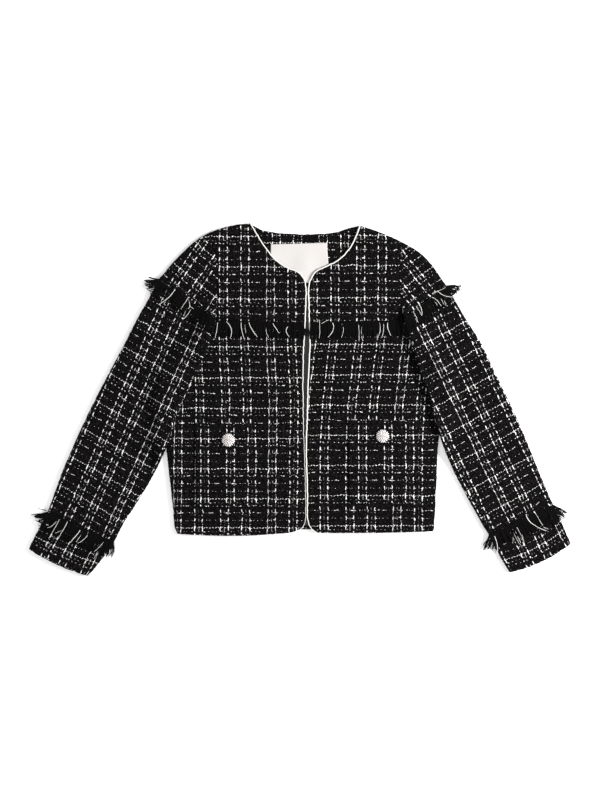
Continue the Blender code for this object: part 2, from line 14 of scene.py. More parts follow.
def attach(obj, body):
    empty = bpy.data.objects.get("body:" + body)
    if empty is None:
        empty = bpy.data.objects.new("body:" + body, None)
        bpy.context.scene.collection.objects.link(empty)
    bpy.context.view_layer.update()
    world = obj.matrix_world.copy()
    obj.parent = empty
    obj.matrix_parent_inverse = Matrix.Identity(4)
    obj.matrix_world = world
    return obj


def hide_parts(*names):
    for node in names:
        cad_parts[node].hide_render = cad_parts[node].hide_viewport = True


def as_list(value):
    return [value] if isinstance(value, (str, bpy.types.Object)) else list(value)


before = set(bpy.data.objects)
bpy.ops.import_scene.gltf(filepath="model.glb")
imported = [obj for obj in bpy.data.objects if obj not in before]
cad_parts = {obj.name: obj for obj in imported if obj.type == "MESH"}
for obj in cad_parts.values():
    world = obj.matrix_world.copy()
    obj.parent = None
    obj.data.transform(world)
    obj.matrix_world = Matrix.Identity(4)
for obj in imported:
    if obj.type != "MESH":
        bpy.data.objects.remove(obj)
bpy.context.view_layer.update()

# Sizes are in millimetres until a point goes into a mesh. X runs to the wearer's left, Y to the
# collar and Z up, as in the frame.
MM = 0.001

# ------------------------------------------------------------
# Table, light and camera. The jacket lies on a white table that is lit from below. A softbox stands
# low on the right and a weaker one fills from the left, and the camera looks straight down.
# ------------------------------------------------------------


def linear(hex_colour):
    """A linear colour from an sRGB hex value."""
    values = [int(hex_colour[i : i + 2], 16) / 255.0 for i in (0, 2, 4)]
    return (*(v / 12.92 if v <= 0.04045 else ((v + 0.055) / 1.055) ** 2.4 for v in values), 1.0)


def set_inputs(tree, item, inputs):
    """Give a node's inputs a value or a link."""
    for key, value in inputs.items():
        if isinstance(value, bpy.types.NodeSocket):
            tree.links.new(value, item.inputs[key])
        else:
            item.inputs[key].default_value = value


def add(tree, kind, settings=None, inputs=None, out=0):
    """Add a node with its settings and inputs. The answer is one output, or the node if out is None."""
    item = tree.nodes.new(kind)
    for key, value in (settings or {}).items():
        setattr(item, key, value)
    set_inputs(tree, item, inputs or {})
    return item if out is None else item.outputs[out]


def noise_in(tree, place, scale, detail=2.0, out="Fac"):
    """Noise of a scale at a place."""
    return add(tree, "ShaderNodeTexNoise", None, {"Vector": place, "Scale": scale, "Detail": detail}, out)


def mixed(tree, factor, first, second):
    """A colour between two, which are sRGB hex values or sockets."""
    first, second = (linear(tone) if isinstance(tone, str) else tone for tone in (first, second))
    return add(tree, "ShaderNodeMix", {"data_type": "RGBA"}, {"Factor": factor, 6: first, 7: second}, 2)


def relief(tree, height, strength, depth):
    """The normal of a relief with a depth in millimetres."""
    inputs = {"Height": height, "Strength": strength, "Distance": depth * MM}
    return add(tree, "ShaderNodeBump", None, inputs, "Normal")


def start_material(name):
    """An empty material, with its tree and its Principled shader."""
    material = bpy.data.materials.new(name)
    material.use_nodes = True
    return material, material.node_tree, material.node_tree.nodes["Principled BSDF"]


def simple_material(name, tones, scale, detail, values, stretch=(1.0, 1.0, 1.0), turn=0.0, bump=None):
    """A material whose tone varies between two with a noise. A bump is the noise's strength and depth."""
    material, tree, shader = start_material(name)
    place = add(tree, "ShaderNodeTexCoord", out="Object")
    mapping = {"Vector": place, "Rotation": (0.0, 0.0, turn), "Scale": stretch}
    unevenness = noise_in(tree, add(tree, "ShaderNodeMapping", None, mapping), scale, detail)
    set_inputs(tree, shader, {"Base Color": mixed(tree, unevenness, *tones), **values})
    if bump:
        set_inputs(tree, shader, {"Normal": relief(tree, unevenness, *bump)})
    return material


def placed(name, data):
    """A new object in the scene."""
    item = bpy.data.objects.new(name, data)
    bpy.context.scene.collection.objects.link(item)
    return item


# In metres. The camera stands over the middle of the frame.
CAMERA_X = 0.0002
CAMERA_Y = -0.001
CAMERA_HEIGHT = 5.0
FRAME_HEIGHT = 1.4
SENSOR = 36.0
TABLE_SIZE = 6.0
TABLE_PLACE = (0.0, 0.0, -0.0004)

# Matt opal acrylic lit from below, with a faint unevenness of its coat
table_finish, tree, shader = start_material("matt_opal_acrylic")
tone = mixed(tree, noise_in(tree, add(tree, "ShaderNodeTexCoord", out="Object"), 3.0), "F7F7F7", "FAFAFA")
values = {"Roughness": 0.8, "Specular IOR Level": 0.1, "Emission Color": tone, "Emission Strength": 0.3}
set_inputs(tree, shader, {"Base Color": tone, **values})

bpy.ops.mesh.primitive_grid_add(x_subdivisions=4, y_subdivisions=4, size=TABLE_SIZE, location=TABLE_PLACE)
table = bpy.context.object
table.name = "white_table"
table.data.materials.append(table_finish)

world = bpy.data.worlds.new("studio")
bpy.context.scene.world = world
world.use_nodes = True
background = world.node_tree.nodes["Background"]
set_inputs(world.node_tree, background, {"Color": linear("FFFFFF"), "Strength": 0.5})

Softbox = namedtuple("Softbox", "name x y z size energy")
for box in (
    Softbox("key_softbox", 2.4, 0.3, 1.4, 0.9, 140.0),
    Softbox("fill_softbox", -0.9, -1.5, 2.3, 2.0, 22.0),
):
    light = bpy.data.lights.new(box.name, "AREA")
    light.shape = "SQUARE"
    light.size = box.size
    light.energy = box.energy
    lamp = placed(box.name, light)
    lamp.location = (box.x, box.y, box.z)
    lamp.rotation_euler = (-lamp.location).to_track_quat("-Z", "Y").to_euler()

lens = bpy.data.cameras.new("camera")
lens.sensor_width = SENSOR
lens.lens = SENSOR * CAMERA_HEIGHT / FRAME_HEIGHT
camera = placed("camera", lens)
camera.location = (CAMERA_X, CAMERA_Y, CAMERA_HEIGHT)
bpy.context.scene.camera = camera
bpy.context.scene.view_settings.view_transform = "Standard"

# ------------------------------------------------------------
# Back. One panel of slubby wool tweed, black with a white check of paired warp yarns and of a
# triple and two single weft yarns. It lies flat on the table and carries every other piece.
# ------------------------------------------------------------
TWEED = 2.2
SEAM_GAP = 0.3
BACK_TOP = TWEED
FINE = 3.0
# Radius of a cloth's turned edges, as a share of its thickness
TURNED_EDGE = 0.3
# How far the yarns push the edges of the tweed about, and over what length
SHAKE = 0.9
SHAKE_LENGTH = 5.0
# Without a seed of its own, the vector noise follows the clock
noise.seed_set(1)

# The check repeats every 82.5 mm across and every 53 mm along the warp
CHECK_WIDTH = 82.5
CHECK_LENGTH = 53.0

# Yarns of one repeat. A float is where a yarn lies on the face: its start and its end.
Yarn = namedtuple("Yarn", "place half value floats", defaults=(None,))
WARP = [
    Yarn(0.0, 1.1, 1.0),
    Yarn(7.0, 0.7, 0.55),
    Yarn(13.4, 1.1, 1.0),
    Yarn(37.5, 1.1, 1.0),
    Yarn(44.5, 0.7, 0.55),
    Yarn(50.8, 1.1, 1.0),
]
# All the warp yarns float alike, from the triple's top row
WARP_FLOATS = [(0.0, 9.2), (10.4, 14.6), (18.6, 28.2), (29.4, 31.4)]
WARP_FLOATS += [(34.6, 44.6), (46.0, 48.0), (50.0, 53.0)]
# The triple's top weft yarn runs in a zigzag of short floats
ZIGZAG = Yarn(0.0, 0.66, 1.0)
ZIGZAG_SWING = 1.0
ZIGZAG_FLOATS = 16
# The other weft yarns, which show as dots where the black warp yarns cross them
WEFT_DOTS = 20
WEFT = [
    Yarn(
        6.7,
        0.58,
        0.62,
        [(0.5, 2.0), (5.3, 9.0), (16.0, 19.0), (21.0, 24.0), (30.2, 32.0), (42.0, 45.0), (50.0, 55.0)]
        + [(58.6, 63.0), (66.0, 69.0), (73.0, 75.5)],
    ),
    Yarn(
        12.7,
        0.66,
        0.9,
        [(0.5, 2.2), (4.7, 7.5), (16.5, 19.5), (21.6, 28.9), (39.0, 42.5), (47.0, 50.0), (59.5, 62.0)]
        + [(66.0, 69.0), (74.5, 78.5)],
    ),
    Yarn(
        26.0,
        0.6,
        0.9,
        [(0.5, 1.8), (6.5, 17.0), (22.0, 24.2), (26.5, 28.7), (31.0, 33.0), (36.5, 39.5), (49.7, 52.5)]
        + [(55.4, 57.6), (60.0, 70.5)],
    ),
    Yarn(
        39.6,
        0.6,
        0.85,
        [(0.5, 2.5), (7.0, 12.5), (19.0, 21.0), (23.5, 25.2), (31.0, 33.5), (47.0, 53.0), (56.0, 58.0)]
        + [(62.0, 64.0), (70.0, 73.0)],
    ),
]
FLOAT_REACH = 0.5
SHORT_FLOAT = 4.9
WARP_TAPER = 3.6
WEFT_TAPER = 1.6
# How full the white warp yarns lie on the flat panels and on the sleeves
PANEL_LOFT = 0.78
SLEEVE_LOFT = 0.89
# Noise scales of the slubs, in broad patches and in knots
SLUB_SCALE = 0.36
KNOT_SCALE = 0.4
# How bright the dots of the weft yarns are, and how little of them shows in between
DOT_GAIN = 0.7
DOT_FLOOR = 0.45
# How the yarns wander: the wave's scale and its reach
WANDERING = [(0.045, 2.8), (0.15, 1.8), (0.45, 1.5)]
# The floats of neighbouring yarns, this far apart, start up to so much early or late
WARP_PITCH = 6.6
WEFT_PITCH = 6.5
FLOAT_SHIFT = 4.0

# A section crosses a piece from its inner to its outer edge. A bow moves its middle towards the
# hem or the cuff.
Section = namedtuple("Section", "x_in y_in x_out y_out bow", defaults=(0.0,))


def table_of(kind, **groups):
    """A table with named columns for each group of rows."""
    return {name: [kind(*row) for row in rows] for name, rows in groups.items()}


FRONTS = table_of(
    Section,
    right=[
        (-14.0, -232.5, -214.0, -234.5, 5.0),
        (-1.5, -227.0, -218.0, -227.0, 4.0),
        (5.7, -219.0, -220.0, -214.5, 2.0),
        (8.5, -206.0, -221.0, -199.0),
        (8.6, -185.0, -223.5, -176.0),
        (7.9, -141.0, -227.5, -141.0),
        (6.0, -88.5, -233.0, -92.0),
        (4.5, -36.0, -237.5, -45.0),
        (4.0, 16.5, -238.5, 2.5),
        (4.0, 65.5, -231.5, 41.0),
        (5.5, 102.0, -180.0, 85.5),
        (7.5, 134.5, -144.5, 138.0),
    ],
    left=[
        (31.5, -233.0, 233.5, -230.5, 1.5),
        (24.0, -228.0, 235.0, -224.0, 1.5),
        (18.4, -220.0, 235.5, -213.0, 0.5),
        (14.5, -206.0, 237.0, -192.0),
        (14.6, -185.0, 237.5, -171.0),
        (14.1, -141.0, 239.5, -137.5),
        (12.4, -88.5, 241.0, -88.5),
        (14.0, -36.0, 245.5, -45.0),
        (15.5, 16.5, 249.5, 2.5),
        (17.5, 65.5, 247.0, 42.5),
        (19.0, 102.0, 208.5, 86.5),
        (18.0, 134.5, 179.0, 138.0),
    ],
)

YOKES = table_of(
    Section,
    right=[
        (7.5, 135.0, -144.5, 138.5),
        (9.0, 174.0, -144.5, 167.0),
        (8.5, 198.5, -143.5, 191.5),
        (4.5, 212.0, -143.0, 216.0),
        (-6.5, 223.0, -143.5, 237.0),
        (-20.0, 227.5, -146.0, 252.5),
        (-40.0, 239.5, -151.5, 265.0),
        (-62.5, 266.0, -159.0, 274.5, -2.0),
        (-88.0, 307.5, -170.8, 285.5, -4.5),
    ],
    left=[
        (18.0, 135.0, 179.5, 138.5),
        (17.0, 174.0, 177.5, 168.5),
        (17.0, 198.5, 175.5, 193.0),
        (21.0, 210.5, 174.0, 216.0),
        (29.5, 223.0, 173.5, 235.0),
        (46.0, 231.0, 174.0, 251.0),
        (68.0, 242.5, 175.0, 261.5),
        (92.0, 269.0, 177.5, 268.5, -1.0),
        (106.5, 303.5, 180.0, 274.5, -2.0),
    ],
)

SIDES = ("right", "left")


# Wool tweed, woven in a loose basket with slub yarns. The wool is matt and nearly black with a
# touch of green and plum, and the white slubs stand proud of it, so they catch the light.
tweed, tweed_tree, shader = start_material("woven_wool_tweed")


def calc(operation, *values):
    """One calculation of the tweed's check."""
    return add(tweed_tree, "ShaderNodeMath", {"operation": operation}, dict(enumerate(values)))


def vector_calc(operation, *values):
    """One calculation of the tweed's check with vectors. A scale is a number."""
    keys = (0, "Scale") if operation == "SCALE" else (0, 1)
    return add(tweed_tree, "ShaderNodeVectorMath", {"operation": operation}, dict(zip(keys, values)))


def ramp(factor, stops):
    """The brightness at a factor, through (place, brightness) stops."""
    item = add(tweed_tree, "ShaderNodeValToRGB", None, {"Fac": factor}, None)
    elements = item.color_ramp.elements
    elements.remove(elements[1])
    for index, (place, value) in enumerate(sorted(stops)):
        stop = elements.new(place) if index else elements[0]
        stop.position = place
        stop.color = (value, value, value, 1.0)
    return item.outputs["Color"]


def yarn_stops(yarns, repeat):
    """Ramp stops across some yarns, in a repeat that wraps round."""
    stops = {0.0: 0.0, 1.0: 0.0}
    for yarn in yarns:
        for share, level in ((-1.0, 0.0), (-0.35, yarn.value), (0.35, yarn.value), (1.0, 0.0)):
            spot = (yarn.place + share * yarn.half) / repeat
            stops[spot + 1.0 if spot < 0.0 else spot] = level
    if yarns[0].place == 0.0:
        stops[0.0] = stops[1.0] = yarns[0].value
    return list(stops.items())


def float_stops(floats, repeat, taper):
    """Ramp stops along the floats of a yarn, which taper at their ends."""
    stops = []
    for start, end in floats:
        first = [(start - FLOAT_REACH, 0.0), (start + taper, 1.0)] if start > 0.0 else [(0.0, 1.0)]
        last = [(end - taper, 1.0), (end + FLOAT_REACH, 0.0)] if end < repeat else [(repeat, 1.0)]
        if end - start < SHORT_FLOAT:
            first[-1:] = [((start + end) / 2.0, 1.0)]
            del last[0]
        stops += [(place / repeat, value) for place, value in first + last]
    return stops


place = vector_calc("SCALE", add(tweed_tree, "ShaderNodeUVMap", {"uv_map": "grain"}), 1.0 / MM)
for wave, reach in WANDERING:
    drift = vector_calc("SUBTRACT", noise_in(tweed_tree, place, wave, 0.0, "Color"), (0.5, 0.5, 0.5))
    place = vector_calc("ADD", place, vector_calc("SCALE", drift, reach))
split = add(tweed_tree, "ShaderNodeSeparateXYZ", None, {0: place}, None).outputs
over = calc("DIVIDE", split["X"], CHECK_WIDTH)
down = calc("DIVIDE", split["Y"], -CHECK_LENGTH)


def shifted(share, count_share, pitch, repeat, other_repeat):
    """A share of the repeat along a yarn, moved as that yarn's floats start a little early or late."""
    seed = calc("ROUND", calc("MULTIPLY", count_share, other_repeat / pitch))
    value = add(tweed_tree, "ShaderNodeTexWhiteNoise", {"noise_dimensions": "1D"}, {"W": seed}, "Value")
    shift = calc("MULTIPLY_ADD", value, FLOAT_SHIFT / repeat, -FLOAT_SHIFT / repeat / 2.0)
    return calc("FRACT", calc("ADD", share, shift))


def slub(stretch, broad_reach, knot_reach, mean):
    """How thick the slubs are from place to place, in patches that are drawn out along the warp."""
    drawn = vector_calc("MULTIPLY", place, (1.0, stretch, 1.0))
    broad = noise_in(tweed_tree, drawn, SLUB_SCALE)
    knots = noise_in(tweed_tree, drawn, KNOT_SCALE, 1.0)
    rest = calc("MULTIPLY_ADD", knots, knot_reach, mean - 0.5 * (broad_reach + knot_reach))
    return calc("MULTIPLY_ADD", broad, broad_reach, rest)


def waves(share, count):
    """A wave with dots in a repeat, from 0 between them to 1."""
    return calc("ABSOLUTE", calc("SINE", calc("MULTIPLY", share, math.pi * count)))


warp_floats = shifted(down, over, WARP_PITCH, CHECK_LENGTH, CHECK_WIDTH)
weft_floats = shifted(over, down, WEFT_PITCH, CHECK_WIDTH, CHECK_LENGTH)
warps = ramp(calc("FRACT", over), yarn_stops(WARP, CHECK_WIDTH))
warps = calc("MULTIPLY", warps, ramp(warp_floats, float_stops(WARP_FLOATS, CHECK_LENGTH, WARP_TAPER)))
wefts = 0.0
row = calc("FRACT", down)
dots = calc("MULTIPLY_ADD", waves(weft_floats, WEFT_DOTS), DOT_GAIN, DOT_FLOOR)
for yarn in WEFT:
    weft = ramp(row, yarn_stops([yarn], CHECK_LENGTH))
    weft = calc("MULTIPLY", weft, ramp(weft_floats, float_stops(yarn.floats, CHECK_WIDTH, WEFT_TAPER)))
    wefts = calc("MAXIMUM", wefts, calc("MULTIPLY", weft, dots))
swing = calc("PINGPONG", calc("MULTIPLY", weft_floats, ZIGZAG_FLOATS), 1.0)
swing = calc("MULTIPLY_ADD", swing, 2.0 * ZIGZAG_SWING / CHECK_LENGTH, -ZIGZAG_SWING / CHECK_LENGTH)
zigzag = ramp(calc("FRACT", calc("ADD", down, swing)), yarn_stops([ZIGZAG], CHECK_LENGTH))
breaks = calc("MINIMUM", calc("MULTIPLY_ADD", waves(weft_floats, ZIGZAG_FLOATS), 1.25, -0.25), 1.0)
wefts = calc("MAXIMUM", wefts, calc("MULTIPLY", zigzag, breaks))
loft = add(tweed_tree, "ShaderNodeAttribute", {"attribute_name": "loft"}, out="Fac")
thick_warps = calc("MULTIPLY", loft, slub(stretch=0.4, broad_reach=1.5, knot_reach=1.2, mean=1.0))
thick_wefts = slub(stretch=1.0, broad_reach=2.4, knot_reach=2.1, mean=0.92)
yarns = calc("MAXIMUM", calc("MULTIPLY", warps, thick_warps), calc("MULTIPLY", wefts, thick_wefts))
edges = {"Value": yarns, "From Min": 0.2, "From Max": 0.85}
white = add(tweed_tree, "ShaderNodeMapRange", {"interpolation_type": "SMOOTHSTEP"}, edges, "Result")
loops = add(tweed_tree, "ShaderNodeTexVoronoi", None, {"Vector": place, "Scale": 0.42}, "Distance")
tint = calc("MULTIPLY_ADD", noise_in(tweed_tree, place, 0.035, 1.0), 1.8, -0.4)
fuzz = calc("MULTIPLY_ADD", noise_in(tweed_tree, place, 0.28, 3.0), 4.4, -1.9)
ground = mixed(tweed_tree, fuzz, mixed(tweed_tree, tint, "030504", "080406"), "252223")
# Painted shade: the ground turns near-black in the hollows between the bouclé loops, the same hollows that
# sink in the relief below
ground = mixed(tweed_tree, loops, ground, "040304")
raised_yarns = calc("SUBTRACT", white, calc("MULTIPLY", loops, 0.7))
values = {
    "Base Color": mixed(tweed_tree, white, ground, "FAF9F7"),
    "Normal": relief(tweed_tree, raised_yarns, 0.7, 0.7),
    "Roughness": 0.95,
    "Specular IOR Level": 0.03,
    "Sheen Weight": 0.01,
    "Sheen Roughness": 0.6,
}
set_inputs(tweed_tree, shader, values)


def across(section, columns):
    """Plan points of one section, from its inner to its outer edge."""
    start = np.array([section.x_in, section.y_in])
    run = np.array([section.x_out, section.y_out]) - start
    down = np.array([-run[1], run[0]]) / np.linalg.norm(run)
    if down[1] > 0.0:
        down = -down
    return np.array([start + run * c + down * section.bow * 4.0 * c * (1.0 - c) for c in columns])


def fill(lines, step):
    """Put smooth lines between the given ones, so that none is much further than a step from the next."""
    lines = np.array(lines)
    gaps = np.linalg.norm(np.diff(lines.mean(axis=1), axis=0), axis=1)
    places = np.concatenate(([0.0], np.cumsum(gaps)))
    slopes = np.gradient(lines, places, axis=0)
    filled = []
    for index, gap in enumerate(gaps):
        count = max(1, round(gap / step))
        for t in np.arange(count) / count:
            start = (1.0 + 2.0 * t) * (1.0 - t) ** 2 * lines[index]
            end = t * t * (3.0 - 2.0 * t) * lines[index + 1]
            leave = t * (1.0 - t) ** 2 * gap * slopes[index]
            arrive = t * t * (t - 1.0) * gap * slopes[index + 1]
            filled.append(start + end + leave + arrive)
    filled.append(lines[-1])
    return np.array(filled)


def raised(lines, height):
    """Give the plan points of some lines a height each."""
    return np.array([[(x, y, height(x, y)) for x, y in line] for line in lines])


def shaken(x, y):
    """Where a place on the tweed comes to lie, as its thick and thin yarns push its edges about."""
    push = noise.noise_vector(Vector((x / SHAKE_LENGTH, y / SHAKE_LENGTH, 0.0)))
    return x + SHAKE * push.x, y + SHAKE * push.y


def cells(rows, columns):
    """The corners of each cell of a grid, as rows and columns."""
    starts = [(r, c) for r in range(rows - 1) for c in range(columns - 1)]
    return [((r, c), (r, c + 1), (r + 1, c + 1), (r + 1, c)) for r, c in starts]


def belongs(piece, slot, node=None):
    """Fix a piece to the jacket's body and hide the plain solid that it stands for. The slot is not used."""
    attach(piece, "root")
    if node:
        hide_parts(node)
    return piece


def cloth(node, grid, grain, thickness, material, slot="tweed", closed=False):
    """Cloth of a real thickness under the outer face that a grid of points gives, with its grain."""
    if material is tweed:
        grid = np.array([[(*shaken(x, y), z) for x, y, z in line] for line in grid])
    rows, columns = grid.shape[:2]
    used = columns - 1 if closed else columns
    verts = (grid[:, :used] * MM).reshape(-1, 3)
    faces = [[i * used + j % used for i, j in cell] for cell in cells(rows, columns)]
    loops = [[grain[i, j] for i, j in cell] for cell in cells(rows, columns)]
    # The faces are turned so that they look outward
    first = grid[1:, 1:].reshape(-1, 3) - grid[:-1, :-1].reshape(-1, 3)
    second = grid[1:, :-1].reshape(-1, 3) - grid[:-1, 1:].reshape(-1, 3)
    up = np.cross(first, second)[:, 2]
    middle = grid[:, :, 2].mean(axis=1).repeat(columns - 1).reshape(rows, -1)[:-1].ravel()
    side = grid[:-1, :-1, 2].ravel() - middle if closed else 1.0
    if np.sum(up * side) < 0.0:
        faces = [face[::-1] for face in faces]
        loops = [loop[::-1] for loop in loops]
    name = "cloth_" + node
    data = bpy.data.meshes.new(name)
    data.from_pydata([tuple(v) for v in verts], [], faces)
    data.uv_layers.new(name="grain").data.foreach_set("uv", np.array(loops).ravel() * MM)
    loft = SLEEVE_LOFT if closed else PANEL_LOFT
    data.attributes.new("loft", "FLOAT", "POINT").data.foreach_set("value", [loft] * len(verts))
    data.materials.append(material)
    data.shade_smooth()
    piece = placed(name, data)
    wall = piece.modifiers.new("wall", "SOLIDIFY")
    wall.thickness = thickness * MM
    wall.offset = -1.0
    turned = piece.modifiers.new("turned_edge", "BEVEL")
    turned.width = TURNED_EDGE * thickness * MM
    turned.segments = 2
    turned.limit_method = "ANGLE"
    turned.angle_limit = math.radians(60.0)
    return belongs(piece, slot, node)


def upright(columns, rows):
    """Grain of a panel whose warp runs up it, from (y, x) of a column and the y of each triple's top."""
    columns = sorted(columns)
    rows = sorted(rows)

    def at(x, y):
        line = np.interp(y, [c[0] for c in columns], [c[1] for c in columns])
        first, last = rows[0], rows[-1]
        if y <= first:
            turn = (y - first) / CHECK_LENGTH
        elif y >= last:
            turn = len(rows) - 1 + (y - last) / CHECK_LENGTH
        else:
            turn = np.interp(y, rows, range(len(rows)))
        return (x - line, turn * CHECK_LENGTH)

    return at


def lay_grain(grid, at):
    """The grain at each point of a grid."""
    return np.array([[at(x, y) for x, y, _ in line] for line in grid])


BACK_NECK = (-88.0, 106.5)
BACK_HEM_BOW = -5.0
# The seam turning of the back goes under the sleeve at the corner of the armhole
BACK_TURNING = 4.5
# The back's top edge runs from shoulder to shoulder by way of the neck
Place = namedtuple("Place", "x y")
BACK_TOP_EDGE = [
    Place(-170.8, 285.5),
    Place(-135.0, 298.5),
    Place(-88.0, 308.0),
    Place(-67.0, 296.0),
    Place(-38.5, 291.2),
    Place(3.5, 288.5),
    Place(45.0, 289.8),
    Place(66.5, 293.0),
    Place(87.0, 300.0),
    Place(106.5, 304.0),
    Place(156.0, 284.0),
    Place(180.0, 274.5),
]
SHOULDER_COLUMNS = 24
NECK_COLUMNS = 56
neck = [(x - BACK_TOP_EDGE[0].x) / (BACK_TOP_EDGE[-1].x - BACK_TOP_EDGE[0].x) for x in BACK_NECK]
columns = [
    np.linspace(0.0, neck[0], SHOULDER_COLUMNS)[:-1],
    np.linspace(neck[0], neck[1], NECK_COLUMNS)[:-1],
    np.linspace(neck[1], 1.0, SHOULDER_COLUMNS),
]
columns = np.concatenate(columns)
lines = []
for right, left in zip(FRONTS["right"] + YOKES["right"][1:-1], FRONTS["left"] + YOKES["left"][1:-1]):
    bow = BACK_HEM_BOW if len(lines) < 2 else 0.0
    turning = BACK_TURNING if len(lines) == len(FRONTS["right"]) - 1 else 0.0
    section = Section(right.x_out - turning, right.y_out, left.x_out + turning, left.y_out, bow)
    lines.append(across(section, columns))
edge = np.array(BACK_TOP_EDGE)
tops = edge[0, 0] + (edge[-1, 0] - edge[0, 0]) * columns
lines.append(np.column_stack((tops, np.interp(tops, edge[:, 0], edge[:, 1]))))
grid = raised(fill(lines, 2.0 * FINE), lambda x, y: BACK_TOP)
back_grain = upright([(0.0, 5.0)], [0.0])
back = cloth("back", grid, lay_grain(grid, back_grain), TWEED, tweed)

# ------------------------------------------------------------
# Inside. A dark satin lining, a tweed facing round the back neck, and a blank woven label that is
# stitched to the facing along its top.
# ------------------------------------------------------------
LINING = 1.0
INSIDE_TOP = BACK_TOP + SEAM_GAP + LINING
LABEL_TOP = INSIDE_TOP + SEAM_GAP + LINING

# Acetate satin, piece dyed charcoal: smooth and close, with a soft gloss along its ribs
finish = {"Roughness": 0.42, "Specular IOR Level": 0.4}
ribs = (900.0, 120.0, 900.0)
weave = {"stretch": ribs, "bump": (0.3, 0.2)}
satin = simple_material("acetate_satin", ("2A2A2B", "3C3C3E"), 1.0, 2.0, finish, **weave)

# Woven polyester label: a close white rib
finish = {"Roughness": 0.6, "Specular IOR Level": 0.25}
ribs = (300.0, 1400.0, 300.0)
weave = {"stretch": ribs, "bump": (0.25, 0.2)}
label_cloth = simple_material("woven_polyester_label", ("C4C0BD", "CFCBC8"), 1.0, 1.0, finish, **weave)

flat_grain = upright([(0.0, 0.0)], [0.0])
shares = np.linspace(0.0, 1.0, 40)
BACK_LINING = [Section(-112.0, -220.0, 134.0, -220.0), Section(-112.0, 186.0, 134.0, 186.0)]


def lining_fall(x, y):
    """The lining lies in shallow lengthwise ripples."""
    return INSIDE_TOP + 0.5 * noise.noise(Vector((x / 9.0, y / 60.0, 3.0))) - 0.4


lines = [across(section, np.linspace(0.0, 1.0, 64)) for section in BACK_LINING]
grid = raised(fill(lines, 8.0), lining_fall)
lining = cloth("back_lining", grid, lay_grain(grid, flat_grain), 0.6, satin, "dark_lining")

NECK_FACING_BOTTOM = Section(-98.0, 187.0, 120.0, 187.0)
NECK_FACING_MIDDLE = Section(-90.0, 245.0, 110.0, 243.0)
NECK_FACING_TOP = (-76.0, 94.0)
NECK_FACING_INSET = 2.5
tops = np.linspace(*NECK_FACING_TOP, len(shares))
top = np.column_stack((tops, np.interp(tops, edge[:, 0], edge[:, 1]) - NECK_FACING_INSET))
lines = [across(NECK_FACING_BOTTOM, shares), across(NECK_FACING_MIDDLE, shares), top]
grid = raised(fill(lines, FINE), lambda x, y: INSIDE_TOP)
facing_grain = upright([(0.0, -48.3)], [273.7])
facing = cloth("neck_facing", grid, lay_grain(grid, facing_grain), LINING, tweed)

LABEL = [Section(-52.5, 204.0, 52.5, 204.0), Section(-50.5, 271.0, 47.0, 273.5)]
LABEL_STITCHES = 268.0
LABEL_LOOSE = 40.0


def label_fall(x, y):
    """The label is stitched down along its top and lifts a little at its sides."""
    free = min(max((LABEL_STITCHES - y) / LABEL_LOOSE, 0.0), 1.0)
    buckle = 0.5 * math.sin((x + 8.0) / 9.0) + 0.4 * noise.noise(Vector((x / 20.0, y / 20.0, 0.0)))
    return LABEL_TOP + free * buckle


grid = raised(fill([across(section, shares) for section in LABEL], 2.5), label_fall)
label = cloth("label", grid, lay_grain(grid, flat_grain), 0.5, label_cloth, "white_label")

# ------------------------------------------------------------
# Fronts and yokes. Each front is one tweed panel from the chest seam to the hem, and each yoke one
# from the shoulder seam to the chest seam. Their outer edges turn down to the back at the seams.
# ------------------------------------------------------------
FRONT_TOP = 7.6
SIDE_TOP = BACK_TOP + SEAM_GAP + TWEED
ROLL_WIDTH = 9.0

# Soft ridges and troughs of the laid cloth. The turn is in degrees from the X axis.
Fold = namedtuple("Fold", "x y length width turn height")
BODY_FOLDS = [
    Fold(-150.0, 60.0, 60.0, 14.0, 62.0, 0.5),
    Fold(-110.0, 20.0, 70.0, 20.0, 75.0, -0.5),
    Fold(95.0, 60.0, 80.0, 18.0, 100.0, 0.5),
    Fold(150.0, 10.0, 70.0, 16.0, 112.0, -0.5),
    Fold(-60.0, 185.0, 45.0, 16.0, 20.0, 0.4),
    Fold(90.0, 190.0, 45.0, 16.0, 160.0, 0.4),
    # The fronts sink beside the sleeves that lie on them
    Fold(203.5, 33.0, 100.0, 12.0, 106.7, -2.4),
    Fold(-178.0, 31.0, 90.0, 11.0, 66.9, -1.6),
]
# Columns of the check (y, x) and the tops of its triples (y) on each front
FRONT_CHECKS = {
    "right": (
        [(-240.0, -139.0), (-40.0, -136.5), (0.0, -136.2), (94.4, -140.9), (140.0, -142.0)],
        [-224.0, -173.6, -121.3, -68.6, -15.6, 37.6, 91.9],
    ),
    "left": (
        [(-240.0, 80.5), (-80.0, 80.5), (-2.8, 85.0), (94.4, 95.9), (140.0, 100.2)],
        [-220.7, -168.0, -115.3, -62.8, -10.0, 43.0, 96.0],
    ),
}
# The flat cut of a sheet, in metres and square metres
Cut = namedtuple("Cut", "width length area")
YOKE_CHECKS = {
    "right": ([(140.0, -140.5)], [175.5, 231.7]),
    "left": ([(140.0, 99.4)], [177.8, 234.0]),
}


def folds_at(x, y, folds):
    """Height of the cloth's folds at one place."""
    height = 0.0
    for fold in folds:
        turn = math.radians(fold.turn)
        run = (x - fold.x) * math.cos(turn) + (y - fold.y) * math.sin(turn)
        side = (y - fold.y) * math.cos(turn) - (x - fold.x) * math.sin(turn)
        height += fold.height * math.exp(-((run / fold.length) ** 2) - (side / fold.width) ** 2)
    return height


def ripple(x, y):
    """Small unevenness of a thick soft cloth."""
    broad = noise.noise(Vector((x / 30.0, y / 30.0, 0.0)))
    return 0.35 * broad + 0.15 * noise.noise(Vector((x / 9.0, y / 9.0, 5.0)))


def body_top(x, y):
    """Height of the front's and the yoke's outer face, away from their turned edges."""
    return FRONT_TOP + folds_at(x, y, BODY_FOLDS) + ripple(x, y)


